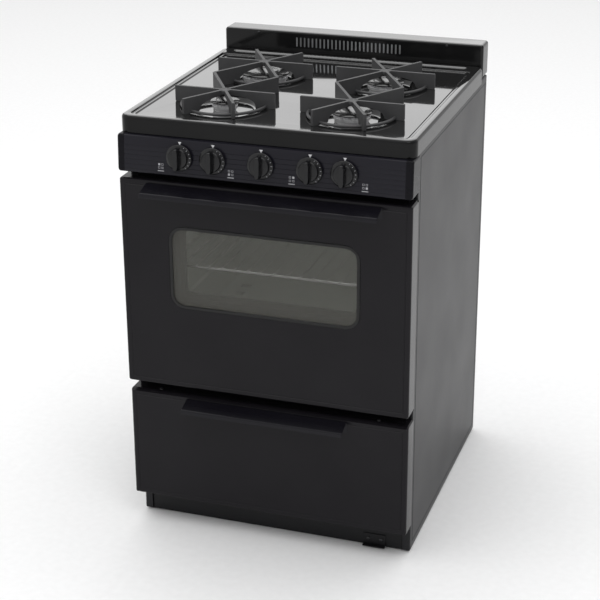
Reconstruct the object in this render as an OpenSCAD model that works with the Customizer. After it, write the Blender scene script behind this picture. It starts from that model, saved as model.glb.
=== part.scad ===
// Freestanding gas range of the 24-inch class, with a bottom-hinged oven door,
// a broiler drawer, four sealed burners under two double grates and five knobs.
// +Z is up and the front faces -Y. The origin is on the floor, in the middle of
// the whole range's box.

/* [Overall] */
// Width over the door and the cooktop
range_w = 610; // [500:5:760]
// Height of the cooktop rim above the floor
cooktop_h = 915; // [760:5:1100]
// Depth of the side panels, from front edge to back edge
cabinet_d = 600; // [500:5:740]
// Rise of the backguard above the cooktop rim
backguard_h = 47; // [30:1:150]
// Thickness of the backguard, front to back
backguard_d = 50; // [40:1:80]

/* [Cabinet] */
// Thickness of the painted sheet
sheet_t = 1.5; // [1:0.1:2.5]
// How far each side panel sits inside the overall width
side_inset = 3; // [2.5:0.5:10]
// Width of the folded flanges of the side panels
flange_w = 18; // [10:1:30]
// Height of the base frame and its kick panel
base_h = 60; // [40:1:100]
// Height of the cooktop apron
apron_h = 35; // [25:1:60]
// Reach of the apron in front of the side panels
apron_reach = 40; // [20:1:44]

/* [Cooktop] */
// Depth of the flat top below the rim
top_recess = 6; // [3:0.5:12]
// Width of the raised rim
rim_w = 15; // [10:1:25]
// Radius of the cooktop's corners
top_corner_r = 22; // [8:1:35]
// Depth of the dish around each burner
dish_depth = 11; // [6:0.5:16]
// Radius of the flat bottom of a dish
dish_floor_r = 58; // [56:1:64]
// Height of the grates above the flat top
grate_h = 33; // [28:1:45]
// Thickness of the grate blades
blade_t = 5; // [3:0.5:8]
// Radius of the bar that makes the grate rings
ring_bar_r = 3.5; // [2.5:0.5:5]
// Gap between the left and the right grate
grate_gap = 54; // [20:1:90]
// Space between a grate and the side of the range
grate_edge = 62; // [45:1:90]
// Height of a burner, from the floor of its dish to the top of its cap
burner_h = 23; // [19:0.5:24]
// Radius of the cap of the large rear left burner
cap_r_large = 53; // [40:1:53]
// Radius of the caps of the two medium burners on the right
cap_r_medium = 41; // [32:1:50]
// Radius of the cap of the small front left burner
cap_r_small = 30; // [26:1:42]

/* [Control panel] */
// Height of the control panel
panel_h = 77; // [70:1:110]
// Reach of the panel's lower edge in front of the side panels
panel_reach = 54; // [50:1:60]
// How much further the lower edge reaches than the upper edge
panel_lean = 4; // [0:1:12]
// Distance of the inner burner knobs from the middle
knob_x_inner = 100; // [80:1:110]
// Distance of the outer burner knobs from the middle
knob_x_outer = 170; // [165:1:190]
// Radius of the knob skirt
knob_r = 27; // [20:0.5:30]
// Height of a knob, from skirt to grip
knob_h = 24; // [18:1:30]
// How far a knob is pushed in before it turns
knob_push = 3; // [2:0.5:4]
// Radius of the valve stems
stem_r = 3; // [2.5:0.5:4]

/* [Door] */
// Height of the gap between the drawer and the door
door_gap = 21.5; // [19:0.5:40]
// Distance from the side panels' front edge to the door's face
door_reach = 50; // [46:1:70]
// Width of the door's window
window_w = 389; // [250:1:400]
// Height of the door's window
window_h = 164; // [100:1:170]
// Corner radius of the window
window_r = 24; // [10:1:40]
// Distance from the door's top edge to the window
window_drop = 100; // [75:1:120]
// Width of the window's dark bezel
bezel_w = 7; // [4:0.5:15]
// Thickness of the door's glass
glass_t = 4; // [3:0.5:6]
// Length of the door's handle
handle_w = 490; // [300:5:495]
// How far the handle stands out from the door
handle_reach = 41; // [30:1:60]

/* [Oven] */
// Inner width of the oven
oven_w = 480; // [380:5:490]
// Inner depth of the oven
oven_d = 455; // [350:5:460]
// Wall thickness of the oven's liner
liner_t = 1.2; // [1:0.1:2]
// Thickness of the insulation round the oven
wool_t = 22; // [10:1:24]
// Height of the rack above the oven's floor
rack_z = 185; // [60:5:200]

/* [Drawer] */
// Height of the drawer's front
drawer_h = 250; // [180:1:300]
// Reach of the drawer's front in front of the side panels
drawer_reach = 45; // [40:1:48]
// Length of the drawer's handle
drawer_handle_w = 350; // [200:5:480]
// Inner height of the drawer's tray
tray_h = 70; // [50:1:90]
// Depth of the drawer's tray, front to back
tray_d = 450; // [350:5:455]

/* [Hidden] */
$fn = 48;

// Clearances
body_gap = 0.3;      // between pieces that lift off or swing, at rest
run_gap = 0.05;      // radial, between a shaft and its hole
slide_gap = 0.5;     // between the drawer or the rack and its guides
lap = 0.01;          // overrun of a cut past the face that it opens

// Front to back: yf is the plane of the side panels' front edges
total_d = handle_reach + door_reach + cabinet_d;
yb = total_d / 2;
yf = yb - cabinet_d;
door_y = yf - door_reach;
drawer_y = yf - drawer_reach;
guard_y = yb - backguard_d;

// Side to side
half_w = range_w / 2;
side_x = half_w - side_inset;

// Floor to top
top_z = cooktop_h - top_recess;
apron_z = cooktop_h - apron_h;
cabinet_top = apron_z + 5;
guard_top = cooktop_h + backguard_h;
panel_top = apron_z - 1;
panel_z = panel_top - panel_h;
drawer_z = base_h + 6;
drawer_top = drawer_z + drawer_h;
door_z = drawer_top + door_gap;
door_top = panel_z - 14;
oven_z = door_z + 58;
oven_top = door_top - 18;
burner_box_z = door_z + 4;

// Cooktop, burners and grates
top_front = yf - apron_reach;
top_back = guard_y - 0.2;
arm_l = (range_w - 2 * grate_edge - grate_gap) / 4;
burner_x = half_w - grate_edge - arm_l;
arm_y = arm_l * cos(30);
front_margin = 57;
rear_margin = 102;
burner_y_front = top_front + front_margin + arm_y;
burner_y_rear = top_back - rear_margin - arm_y;
burner_pitch = burner_y_rear - burner_y_front;
dish_r = min(arm_l - 16, burner_pitch / 2 - 8);
dish_floor = min(dish_floor_r, dish_r - 8);
dish_z = top_z - dish_depth;
grate_z = top_z + body_gap;
grate_top = top_z + grate_h;
hub_r = 12;
hub_h = 8;
burners = [
    [-burner_x, burner_y_front, cap_r_small],
    [burner_x, burner_y_front, cap_r_medium],
    [-burner_x, burner_y_rear, cap_r_large],
    [burner_x, burner_y_rear, cap_r_medium]
];
cap_t = 5;
cap_z = dish_z + burner_h - cap_t;
throat_r = 13;

// Control panel and knobs: the panel's face leans back by panel_tilt
panel_tilt = atan2(panel_lean, panel_h);
knob_z = panel_z + panel_h / 2 + 2;
knob_face_y = yf - panel_reach + panel_lean * (knob_z - panel_z) / panel_h;
knob_gap = knob_push + 1;
stem_hole_r = stem_r + 3;
stem_back = 24;
stem_front = knob_gap + 15;
valve_w = 22;
valve_front = 14;
valve_len = 26;
knob_xs = [-knob_x_outer, -knob_x_inner, 0, knob_x_inner, knob_x_outer];
manifold_r = 9;
manifold_y = yf - 8;
manifold_z = knob_z - 6;
supply_x = side_x - 52;
supply_end = yb - 75;

// Door: hinge axis and inner pieces
door_t = door_reach - 4;
door_back = door_y + door_t;
hinge_y = yf - 34;
hinge_z = door_z + 8;
hinge_x = half_w - 38;
pin_r = 4;
win_z0 = door_top - window_drop - window_h;
win_zc = win_z0 + window_h / 2;
handle_t = 2;
handle_drop = 10;
handle_z = door_top - 7;
drawer_handle_reach = 36;
drawer_handle_z = drawer_top - 7;
seal_w = 10;

// Oven
liner_x = oven_w / 2 + liner_t;
liner_y0 = yf + 2;
liner_y1 = liner_y0 + oven_d + liner_t;
liner_top = oven_top + liner_t;
ledge_w = 9;
ledge_t = 2;
rack_levels = [rack_z - 105, rack_z, rack_z + 75];
rack_x = oven_w / 2 - 4;
rack_wire_r = 1.8;
rack_frame_r = 3;
rack_front = liner_y0 + 14;
rack_back = liner_y1 - liner_t - 8;
rack_plane = oven_z + rack_z + ledge_t + slide_gap + rack_frame_r;
flue_w = 140;

// Drawer
tray_x = half_w - 40;
tray_z = drawer_z + 12;
tray_y0 = drawer_y + 10;
tray_y1 = yf + tray_d;
rail_x = side_x - sheet_t - 4;
pan_x = tray_x - 30;
pan_y0 = tray_y0 + 50;
pan_y1 = tray_y1 - 30;
pan_h = 34;
pan_z = tray_z + sheet_t + body_gap;

// Helpers

// A box from its lowest to its highest corner
module box(lo, hi) {
    translate(lo) cube(hi - lo);
}

// The same shape on the right and, mirrored, on the left
module both_sides() {
    children();
    mirror([1, 0, 0]) children();
}

// The window's outline, grown or shrunk, as a slab from y0 to y1
module window_prism(grow, y0, y1) {
    translate([0, y1, win_zc]) rotate([90, 0, 0]) linear_extrude(y1 - y0)
        rounded_rect(window_w + 2 * grow, window_h + 2 * grow, max(window_r + grow, 4));
}

// A rectangle with round corners, centred
module rounded_rect(w, h, r) {
    union() {
        square([w - 2 * r, h], center = true);
        square([w, h - 2 * r], center = true);
        for (sx = [-1, 1], sz = [-1, 1]) translate([sx * (w / 2 - r), sz * (h / 2 - r)]) circle(r);
    }
}

// A bar along X, Y or Z, from a point
module rod_x(p, r, l) { translate(p) rotate([0, 90, 0]) cylinder(r = r, h = l); }
module rod_y(p, r, l) { translate(p) rotate([-90, 0, 0]) cylinder(r = r, h = l); }
module rod_z(p, r, l) { translate(p) cylinder(r = r, h = l); }

// The frame of a knob: the origin is on the panel's face and +Z points out of it
module at_knob(x) {
    translate([x, knob_face_y, knob_z]) rotate([90 - panel_tilt, 0, 0]) children();
}

// A pan head screw: head at the origin, pointing to +Z, shank below
module screw(head_r = 4, head_h = 2, shank_r = 2, shank_l = 8) {
    cylinder(r = head_r, h = head_h, $fn = 24);
    translate([0, 0, -shank_l]) cylinder(r = shank_r, h = shank_l + 0.5, $fn = 24);
}

// Cabinet
back_screw_x = side_x - flange_w / 2 - 1;
back_screw_r = 4;
back_screw_zs = [base_h + 60, (base_h + cabinet_top) / 2, cabinet_top - 40];

// One side panel: the outer sheet, its front and back flanges and its bottom flange
module side_panel() {
    color([0.13, 0.13, 0.14]) difference() {
        union() {
            box([side_x - sheet_t, yf, 3], [side_x, yb, cabinet_top]);
            box([side_x - flange_w, yf, drawer_z - 3], [side_x - sheet_t + lap, yf + sheet_t, cabinet_top]);
            box([side_x - flange_w, yb - sheet_t, base_h], [side_x - sheet_t + lap, yb, cabinet_top]);
            box([side_x - flange_w, yf + sheet_t - lap, cabinet_top - sheet_t],
                [side_x - sheet_t + lap, yb - sheet_t + lap, cabinet_top]);
        }
        for (z = back_screw_zs) rod_y([back_screw_x, yb - sheet_t - 1, z], back_screw_r + 0.2, sheet_t + 2);
    }
}

module side_panel_left() { mirror([1, 0, 0]) side_panel(); }
module side_panel_right() { side_panel(); }

back_y = yb - 2 * sheet_t - 0.05;

// Back sheet behind the side panels' flanges, with the gas inlet's hole and a row of vents
module back_panel() {
    color([0.45, 0.46, 0.47]) difference() {
        box([-side_x + sheet_t + 1, back_y, base_h + 1],
            [side_x - sheet_t - 1, back_y + sheet_t, cabinet_top - sheet_t - 1]);
        rod_y([supply_x - 34, back_y - 1, manifold_z], 26, sheet_t + 2);
        for (i = [-6:6]) box([i * 24 - 4, back_y - 1, oven_top - 60], [i * 24 + 4, yb, oven_top - 20]);
        for (sx = [-1, 1], z = back_screw_zs) rod_y([sx * back_screw_x, back_y - 1, z], 2.2, sheet_t + 2);
    }
}

// Base frame: side rails, cross rails and the flange that carries the side panels
module base_frame() {
    inner = side_x - sheet_t - 0.1;
    color([0.2, 0.2, 0.21]) difference() {
        box([-inner, yf + 6, 4], [inner, back_y - 0.5, base_h]);
        box([-inner + 2, yf + 8, 4 - 1], [inner - 2, back_y - 2.5, base_h - 2]);
        box([-inner + 30, yf + 40, 0], [inner - 30, yb - 40, base_h + 1]);
    }
}

// Kick panel that closes the base under the drawer
module kick_panel() {
    color([0.05, 0.05, 0.055]) {
        box([-side_x + sheet_t + 0.1, yf + 4, 3], [side_x - sheet_t - 0.1, yf + 5.9, base_h]);
        box([-side_x + sheet_t + 0.1, yf - 6, base_h - 2], [side_x - sheet_t - 0.1, yf + 4 + lap, base_h]);
    }
}

bracket_x0 = 200;
bracket_x1 = 248;
bracket_y = yf + 4;

// Small dark bracket on the kick panel that hooks over the anti-tip clip
module kick_bracket() {
    color([0.08, 0.08, 0.08]) difference() {
        union() {
            box([bracket_x0, bracket_y - 2, 4], [bracket_x1, bracket_y, 30]);
            box([bracket_x0, bracket_y - 12, 4], [bracket_x1, bracket_y - 2 + lap, 6]);
        }
        for (x = [bracket_x0 + 10, bracket_x1 - 10]) rod_y([x, bracket_y - 3, 18], 2.6, 4);
    }
}

foot_y_front = yf + 30;
foot_y_back = yb - 30;
foot_x = side_x - 24;

// Four levelling feet, screwed fully in
module leveling_feet() {
    color([0.3, 0.3, 0.3]) for (sx = [-1, 1], y = [foot_y_front, foot_y_back])
        translate([sx * foot_x, y, 0]) {
        cylinder(r = 15, h = 4 - lap);
        cylinder(r = 5, h = base_h - 2);
    }
}

// Sheet frame behind the door, with the oven's opening; its lower rail closes over the drawer
module front_frame() {
    x1 = side_x - flange_w - 0.5;
    color([0.1, 0.1, 0.1]) difference() {
        box([-x1, yf, drawer_top - 12], [x1, yf + sheet_t, panel_z + 20]);
        box([-oven_w / 2, yf - 1, oven_z], [oven_w / 2, yf + 3, oven_top]);
    }
}

// Cooktop

module top_outline(inset) {
    w = range_w - 2 * inset;
    d = top_back - top_front - 2 * inset;
    r = max(top_corner_r - inset, 1);
    translate([0, (top_back + top_front) / 2]) rounded_rect(w, d, r);
}

ledge_d = 42;

// Pressed top: rim and skirt, flat recess, one dish for each burner
module cooktop() {
    skin = 2;
    color([0.09, 0.09, 0.1]) difference() {
        union() {
            difference() {
                translate([0, 0, apron_z]) linear_extrude(apron_h) top_outline(0);
                translate([0, 0, apron_z - 1]) linear_extrude(apron_h - top_recess - skin + 1)
                    top_outline(skin);
                box([-half_w + rim_w, top_front + rim_w, top_z],
                    [half_w - rim_w, top_back - ledge_d, cooktop_h + 1]);
            }
            for (b = burners) rod_z([b[0], b[1], dish_z - skin], dish_r + 1, dish_depth + skin);
        }
        for (b = burners) {
            translate([b[0], b[1], dish_z]) cylinder(r1 = dish_floor, r2 = dish_r, h = dish_depth + 0.001);
            rod_z([b[0], b[1], top_z], dish_r + 1.5, cooktop_h);
            rod_z([b[0], b[1], dish_z - skin - 1], throat_r + 1, skin + 2);
        }
        box([side_x - flange_w, yf, apron_z - 1], [side_x + 0.3, top_back + 1, cabinet_top + 0.3]);
        box([-side_x - 0.3, yf, apron_z - 1], [-side_x + flange_w, top_back + 1, cabinet_top + 0.3]);
        box([-side_x + flange_w - 1, top_back - 4, apron_z - 1],
            [side_x - flange_w + 1, top_back + 1, top_z - skin]);
    }
}

// Grates: each is two six-armed burner grates joined at two corners

blade_x0 = blade_t + 3;
post_r = blade_t / 2 + 1.1;

// One upright blade from a hub along +X, with an arch over the burner
module blade(l) {
    root_h = 9;
    h = grate_h - body_gap;
    arch_end = arm_l * 0.62;
    arch_r = arch_end - hub_r;
    steps = 12;
    arch = [for (i = [0:steps]) let (a = 90 * i / steps)
        [hub_r + arch_r * sin(a), (h - root_h) * (0.25 + 0.75 * cos(a))]];
    rotate([90, 0, 0]) translate([0, 0, -blade_t / 2]) linear_extrude(blade_t)
        polygon(concat(
            [[blade_x0, h - root_h], [blade_x0, h], [l, h], [l, 0], [arch_end, 0]],
            [for (i = [steps:-1:0]) arch[i]]));
}

module burner_grate(y, outward) {
    mid_l = burner_pitch / 2 / cos(30);
    translate([0, y, grate_z]) {
        for (a = [0, 60, 120, 180, 240, 300])
            rotate([0, 0, a]) blade(outward * sin(a) < -0.1 ? mid_l - 1.6 : arm_l);
        translate([0, 0, ring_bar_r + 0.6]) rotate_extrude() translate([dish_r, 0])
            rotate(22.5) circle(ring_bar_r, $fn = 8);
        translate([0, 0, grate_h - body_gap - hub_h]) cylinder(r = hub_r, h = hub_h - 1);
    }
}

module double_grate(x) {
    color([0.2, 0.2, 0.21]) translate([x, 0, 0]) {
        burner_grate(burner_y_front, -1);
        burner_grate(burner_y_rear, 1);
        for (sx = [-1, 1])
            translate([sx * burner_pitch / 2 * tan(30), (burner_y_front + burner_y_rear) / 2, grate_z + 0.3])
                cylinder(r = post_r, h = grate_h - body_gap - 0.7);
    }
}

module grate_left() { double_grate(-burner_x); }
module grate_right() { double_grate(burner_x); }

// Burners

// Aluminium heads: a black foot, a throat through the dish and the ported ring
module burner_heads() {
    color([0.75, 0.75, 0.76]) for (b = burners) translate([b[0], b[1], 0]) difference() {
        union() {
            rod_z([0, 0, dish_z + 0.1], b[2] - 8, 7);
            rod_z([0, 0, dish_z + 7], b[2] - 4, cap_z - dish_z - 7 - body_gap);
            rod_z([0, 0, dish_z - 16], throat_r, 17);
        }
        rod_z([0, 0, dish_z - 17], throat_r - 3, burner_h + 20);
        rod_z([0, 0, dish_z + 5], b[2] - 10, burner_h);
    }
}

// A cap: a low dome with a locating ring that drops into the head
module burner_cap(i) {
    b = burners[i];
    color([0.05, 0.05, 0.05]) translate([b[0], b[1], cap_z]) {
        cylinder(r = b[2], h = 3);
        translate([0, 0, 3 - lap]) cylinder(r1 = b[2] - 1, r2 = b[2] - 5, h = cap_t - 3);
        translate([0, 0, -4]) cylinder(r = b[2] - 11, h = 4 + lap);
    }
}

module burner_cap_front_left() { burner_cap(0); }
module burner_cap_front_right() { burner_cap(1); }
module burner_cap_rear_left() { burner_cap(2); }
module burner_cap_rear_right() { burner_cap(3); }

// Ceramic spark electrodes, one beside each burner
module igniter_electrodes() {
    color([0.9, 0.9, 0.86]) for (b = burners) let (r = b[2] + 3)
        translate([b[0] - r * cos(30), b[1] + r * sin(30), 0]) {
        rod_z([0, 0, dish_z + 0.1], 2.2, 9);
        rod_z([0, 0, dish_z + 9], 0.9, 4);
    }
}

tube_r = 8;
tube_z = dish_z - 26;

// Mixing tubes, from each valve's jet to its burner
module burner_tubes() {
    color([0.7, 0.71, 0.72]) for (i = [0:3]) {
        b = burners[i];
        vx = sign(b[0]) * ([knob_x_inner, knob_x_outer, knob_x_outer, knob_x_inner][i]);
        y0 = manifold_y + manifold_r + 14;
        dx = b[0] - vx;
        dy = b[1] - y0;
        run = sqrt(dx * dx + dy * dy);
        difference() {
            union() {
                translate([vx, y0, tube_z]) rotate([0, 0, -atan2(dx, dy)]) rod_y([0, 0, 0], tube_r, run);
                rod_z([b[0], b[1], tube_z - tube_r - 1], tube_r + 3, dish_z - 17 - tube_z + tube_r + 1);
            }
            rod_z([b[0], b[1], tube_z - 5], tube_r - 1, 40);
            translate([vx, y0, tube_z]) rotate([0, 0, -atan2(dx, dy)]) rod_y([0, -1, 0], tube_r - 1.5, run);
        }
    }
}

// Gas supply

// Manifold: a pipe across the front and a supply pipe along the right side
module gas_manifold() {
    color([0.55, 0.56, 0.57]) difference() {
        union() {
            rod_x([-knob_x_outer - 24, manifold_y, manifold_z], manifold_r, supply_x + knob_x_outer + 24);
            rod_y([supply_x, manifold_y, manifold_z], manifold_r, supply_end - manifold_y);
            translate([supply_x, manifold_y, manifold_z]) sphere(manifold_r);
        }
        rod_x([-knob_x_outer - 20, manifold_y, manifold_z], manifold_r - 2, supply_x + knob_x_outer + 20);
        rod_y([supply_x, manifold_y, manifold_z], manifold_r - 2, supply_end - manifold_y + 1);
    }
}

// The body of a valve, in the knob's frame, with the bore of its stem
module valve_body(w, len) {
    difference() {
        union() {
            translate([-w / 2, -w / 2, -valve_front - len]) cube([w, w, len]);
            translate([0, 0, -valve_front - 0.5]) cylinder(r = stem_r + 4, h = 6);
        }
        translate([0, 0, -stem_back - knob_push - 2]) cylinder(r = stem_r + run_gap, h = 40);
    }
}

// Space taken by the manifold, with a hair of clearance
module manifold_space() {
    rod_x([-knob_x_outer - 30, manifold_y, manifold_z], manifold_r + 0.1, supply_x + knob_x_outer + 30);
}

module burner_valves() {
    color([0.72, 0.6, 0.3]) for (i = [0, 1, 3, 4]) difference() {
        at_knob(knob_xs[i]) valve_body(valve_w, valve_len);
        manifold_space();
    }
}

module oven_thermostat() {
    color([0.6, 0.6, 0.58]) difference() {
        at_knob(0) valve_body(44, valve_len);
        manifold_space();
    }
}

regulator_len = 36;

module pressure_regulator() {
    color([0.6, 0.62, 0.64]) difference() {
        union() {
            box([supply_x - 50, supply_end + 0.1, manifold_z - 18],
                [supply_x + 14, supply_end + regulator_len, manifold_z + 18]);
            rod_z([supply_x - 20, supply_end + regulator_len / 2, manifold_z + 17], 14, 16);
        }
        rod_y([supply_x, supply_end, manifold_z], manifold_r - 2, 12);
        rod_y([supply_x - 34, supply_end + 12, manifold_z], 8, regulator_len);
    }
}

nipple_r = 10.67;
nipple_y0 = supply_end + regulator_len + 0.1;
nipple_y1 = yb - 2;

module gas_inlet_nipple() {
    color([0.5, 0.5, 0.5]) difference() {
        rod_y([supply_x - 34, nipple_y0, manifold_z], nipple_r, nipple_y1 - nipple_y0);
        rod_y([supply_x - 34, nipple_y0 - 1, manifold_z], 7.9, nipple_y1 - nipple_y0 + 2);
    }
}

module spark_module() {
    color([0.85, 0.85, 0.8]) {
        box([-110, liner_y1 - 60, liner_top + wool_t + 0.1], [-20, liner_y1 - 10, liner_top + wool_t + 30]);
        for (i = [0:3]) rod_z([-98 + i * 22, liner_y1 - 35, liner_top + wool_t + 29], 4, 8);
    }
}

// Oven

// Liner: five enamelled walls, open to the front and to the broiler below
module oven_liner() {
    color([0.22, 0.22, 0.23]) {
        difference() {
            box([-liner_x, liner_y0, burner_box_z], [liner_x, liner_y1, liner_top]);
            box([-oven_w / 2, liner_y0 - 1, burner_box_z - 1], [oven_w / 2, liner_y1 - liner_t, oven_top]);
            box([-flue_w / 2, liner_y1 - liner_t - 1, oven_top - 60],
                [flue_w / 2, liner_y1 + 1, oven_top - 35]);
        }
        both_sides() {
            for (h = concat([-ledge_t], rack_levels))
                box([oven_w / 2 - ledge_w, liner_y0 + 6, oven_z + h],
                    [oven_w / 2 + lap, liner_y1 - liner_t + lap, oven_z + h + ledge_t]);
        }
    }
}

// Mineral wool over the sides, the top and the back of the liner
module oven_insulation() {
    color([0.8, 0.78, 0.7]) difference() {
        box([-liner_x - wool_t, liner_y0 + 4, oven_z - 30],
            [liner_x + wool_t, liner_y1 + wool_t, liner_top + wool_t]);
        box([-liner_x - 0.1, liner_y0, oven_z - 31], [liner_x + 0.1, liner_y1 + 0.1, liner_top + 0.1]);
        box([-flue_w / 2 - 4, liner_y1 - 1, oven_top - 66],
            [flue_w / 2 + 4, liner_y1 + wool_t + 1, oven_top - 29]);
    }
}

// Removable oven floor with its side slots
module oven_floor() {
    x1 = oven_w / 2 - 1;
    color([0.15, 0.15, 0.16]) difference() {
        box([-x1, liner_y0 + 2, oven_z + 0.1], [x1, liner_y1 - liner_t - 2, oven_z + 0.1 + sheet_t]);
        for (sx = [-1, 1], i = [0:7]) translate([sx * (x1 - 40), liner_y0 + 50 + i * (oven_d - 90) / 8, 0])
            box([-12, 0, oven_z - 1], [12, 20, oven_z + 3]);
    }
}

// Oven burner: a long ported tube under the oven's floor
module oven_burner() {
    z = (burner_box_z + oven_z) / 2 + 2;
    color([0.6, 0.6, 0.6]) difference() {
        union() {
            rod_y([0, liner_y0 + 40, z], 13, oven_d - 80);
            box([-30, liner_y1 - liner_t - 44, z - 2], [30, liner_y1 - liner_t - 0.1, z + 2]);
            box([-60, liner_y0 + 60, z + 12], [60, liner_y1 - 90, z + 13.5]);
        }
        rod_y([0, liner_y0 + 42, z], 11, oven_d - 84);
    }
}

// Duct from the oven's back wall up to the vents of the backguard
module flue_duct() {
    y1 = guard_y + 20;
    z0 = oven_top - 65;
    color([0.62, 0.63, 0.64]) difference() {
        union() {
            box([-flue_w / 2, liner_y1 + 0.1, z0 + 2], [flue_w / 2, y1, z0 + 34]);
            box([-flue_w / 2, guard_y + 3, z0 + 2], [flue_w / 2, y1, cabinet_top + 10]);
        }
        box([-flue_w / 2 + 1, liner_y1 - 1, z0 + 3], [flue_w / 2 - 1, y1 - 1, z0 + 33]);
        box([-flue_w / 2 + 1, guard_y + 4, z0 + 4], [flue_w / 2 - 1, y1 - 1, cabinet_top + 12]);
    }
}

// Backguard: a hollow sheet box with a row of vent slots in its face
slot_pitch = 9.3;
slot_w = 4;
slot_count = 27;
slot_h = 22;

module backguard() {
    z0 = cabinet_top + 0.3;
    slot_z = (cooktop_h + guard_top) / 2;
    fit_h = min(slot_h, backguard_h - 20);
    color([0.12, 0.12, 0.13]) difference() {
        box([-side_x, guard_y, z0], [side_x, yb, guard_top]);
        box([-side_x + 2, guard_y + 2, z0 - 1], [side_x - 2, yb - 2, guard_top - 2]);
        box([-side_x + 30, yb - 3, z0 - 1], [side_x - 30, yb + 1, guard_top - 14]);
        for (i = [0:slot_count - 1]) translate([(i - (slot_count - 1) / 2) * slot_pitch - 8, 0, 0])
            box([-slot_w / 2, guard_y - 1, slot_z - fit_h / 2],
                [slot_w / 2, guard_y + 3, slot_z + fit_h / 2]);
    }
}

// Control panel

module panel_profile(inset) {
    // Across X: the lower front corner, the upper front corner, then the back
    top_in = panel_reach - panel_lean;
    polygon([[-panel_reach + inset, panel_z + inset], [-top_in + inset, panel_top - inset],
        [inset > 0 ? 1 : 0, panel_top - inset], [inset > 0 ? 1 : 0, panel_z + inset]]);
}

// A profile drawn as (distance behind yf, height), swept along X between two ends
module sweep_x(x0, x1) {
    translate([x0, yf, 0]) rotate([90, 0, 90]) linear_extrude(x1 - x0) children();
}

end_cap_w = 15;

module control_panel() {
    x1 = half_w - end_cap_w;
    color([0.14, 0.14, 0.16]) difference() {
        sweep_x(-x1, x1) panel_profile(0);
        sweep_x(-x1 - 1, x1 + 1) panel_profile(2);
        for (x = knob_xs) at_knob(x) translate([0, 0, -6]) cylinder(r = stem_hole_r, h = 12);
    }
}

// Moulded caps that close the two ends of the panel
module panel_end_caps() {
    color([0.1, 0.1, 0.11]) both_sides() difference() {
        sweep_x(half_w - end_cap_w + 0.1, half_w) panel_profile(0);
        sweep_x(half_w - end_cap_w - 1, half_w - 2) panel_profile(2);
    }
}

// Knobs

// Skirt, dome and grip bar, with the blind bore that takes the stem
module knob(x) {
    color([0.07, 0.07, 0.08]) at_knob(x) difference() {
        union() {
            translate([0, 0, knob_gap]) cylinder(r = knob_r, h = 4);
            translate([0, 0, knob_gap + 4 - lap]) cylinder(r1 = knob_r - 3, r2 = knob_r - 7, h = 6);
            translate([-6, -knob_r + 4, knob_gap + 3]) cube([12, 2 * knob_r - 8, knob_h - 3]);
        }
        translate([0, 0, knob_gap - 1]) cylinder(r = stem_r + run_gap, h = 1 + 15.3);
    }
}

module knob_rear_left() { knob(knob_xs[0]); }
module knob_front_left() { knob(knob_xs[1]); }
module knob_oven() { knob(knob_xs[2]); }
module knob_rear_right() { knob(knob_xs[3]); }
module knob_front_right() { knob(knob_xs[4]); }

module stem(x) {
    color([0.7, 0.7, 0.7]) at_knob(x) translate([0, 0, -stem_back])
        cylinder(r = stem_r, h = stem_back + stem_front);
}

module stem_rear_left() { stem(knob_xs[0]); }
module stem_front_left() { stem(knob_xs[1]); }
module stem_oven() { stem(knob_xs[2]); }
module stem_rear_right() { stem(knob_xs[3]); }
module stem_front_right() { stem(knob_xs[4]); }

// Door

// Space that a hinge bracket sweeps through the door's lower back corner
module hinge_notch() {
    both_sides() box([hinge_x - 10, hinge_y - 12, door_z - 1], [hinge_x + 10, door_back + 1, hinge_z + 14]);
}

// Outer skin with its four folded returns and the window hole
module door_panel() {
    color([0.07, 0.07, 0.08]) difference() {
        box([-half_w, door_y, door_z], [half_w, door_back - 2, door_top]);
        box([-half_w + 2, door_y + 2, door_z + 2], [half_w - 2, door_back, door_top - 2]);
        window_prism(bezel_w, door_y - 1, door_y + 3);
        hinge_notch();
        for (x = [-handle_w / 2 + 40, handle_w / 2 - 40]) rod_y([x, door_y - 1, handle_z - 12], 2.2, 4);
    }
}

// Inner skin
module door_inner_panel() {
    color([0.12, 0.12, 0.13]) difference() {
        box([-half_w, door_back - 2, door_z], [half_w, door_back, door_top]);
        window_prism(-12, door_back - 3, door_back + 1);
        hinge_notch();
        for (x = [-half_w + 12, half_w - 12], z = [door_z + 60, door_top - 20])
            rod_y([x, door_back - 3, z], 2.2, 4);
    }
}

module door_glass_outer() {
    color([0.1, 0.1, 0.1, 0.6]) window_prism(bezel_w + 6, door_y + 2.1, door_y + 2.1 + glass_t);
}

module door_glass_inner() {
    color([0.6, 0.65, 0.6, 0.4]) window_prism(0, door_back - 2.1 - glass_t, door_back - 2.1);
}

// Dark bezel set into the window hole, flush with the skin
module window_bezel() {
    color([0.03, 0.03, 0.03]) difference() {
        window_prism(bezel_w - 0.1, door_y + 0.2, door_y + 2);
        window_prism(0, door_y - 1, door_y + 3);
    }
}

// A ledge handle: a flange on the panel, a plate that slopes out and down, and its lip
module ledge_handle(w, reach, y, z) {
    lip = 9;
    t = handle_t;
    translate([-w / 2, y, z]) rotate([90, 0, 90]) linear_extrude(w) polygon([
        [-0.05, -24], [-0.05, 0], [-reach + t, -handle_drop], [-reach, -handle_drop - t],
        [-reach, -handle_drop - lip],
        [-reach + t, -handle_drop - lip], [-reach + t, -handle_drop - t], [-t, -t], [-t, -24]]);
}

module door_handle() {
    color([0.05, 0.05, 0.06]) difference() {
        ledge_handle(handle_w, handle_reach, door_y, handle_z);
        for (x = [-handle_w / 2 + 40, handle_w / 2 - 40])
            rod_y([x, door_y - handle_t - 1, handle_z - 12], 2.2, 4);
    }
}

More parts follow.
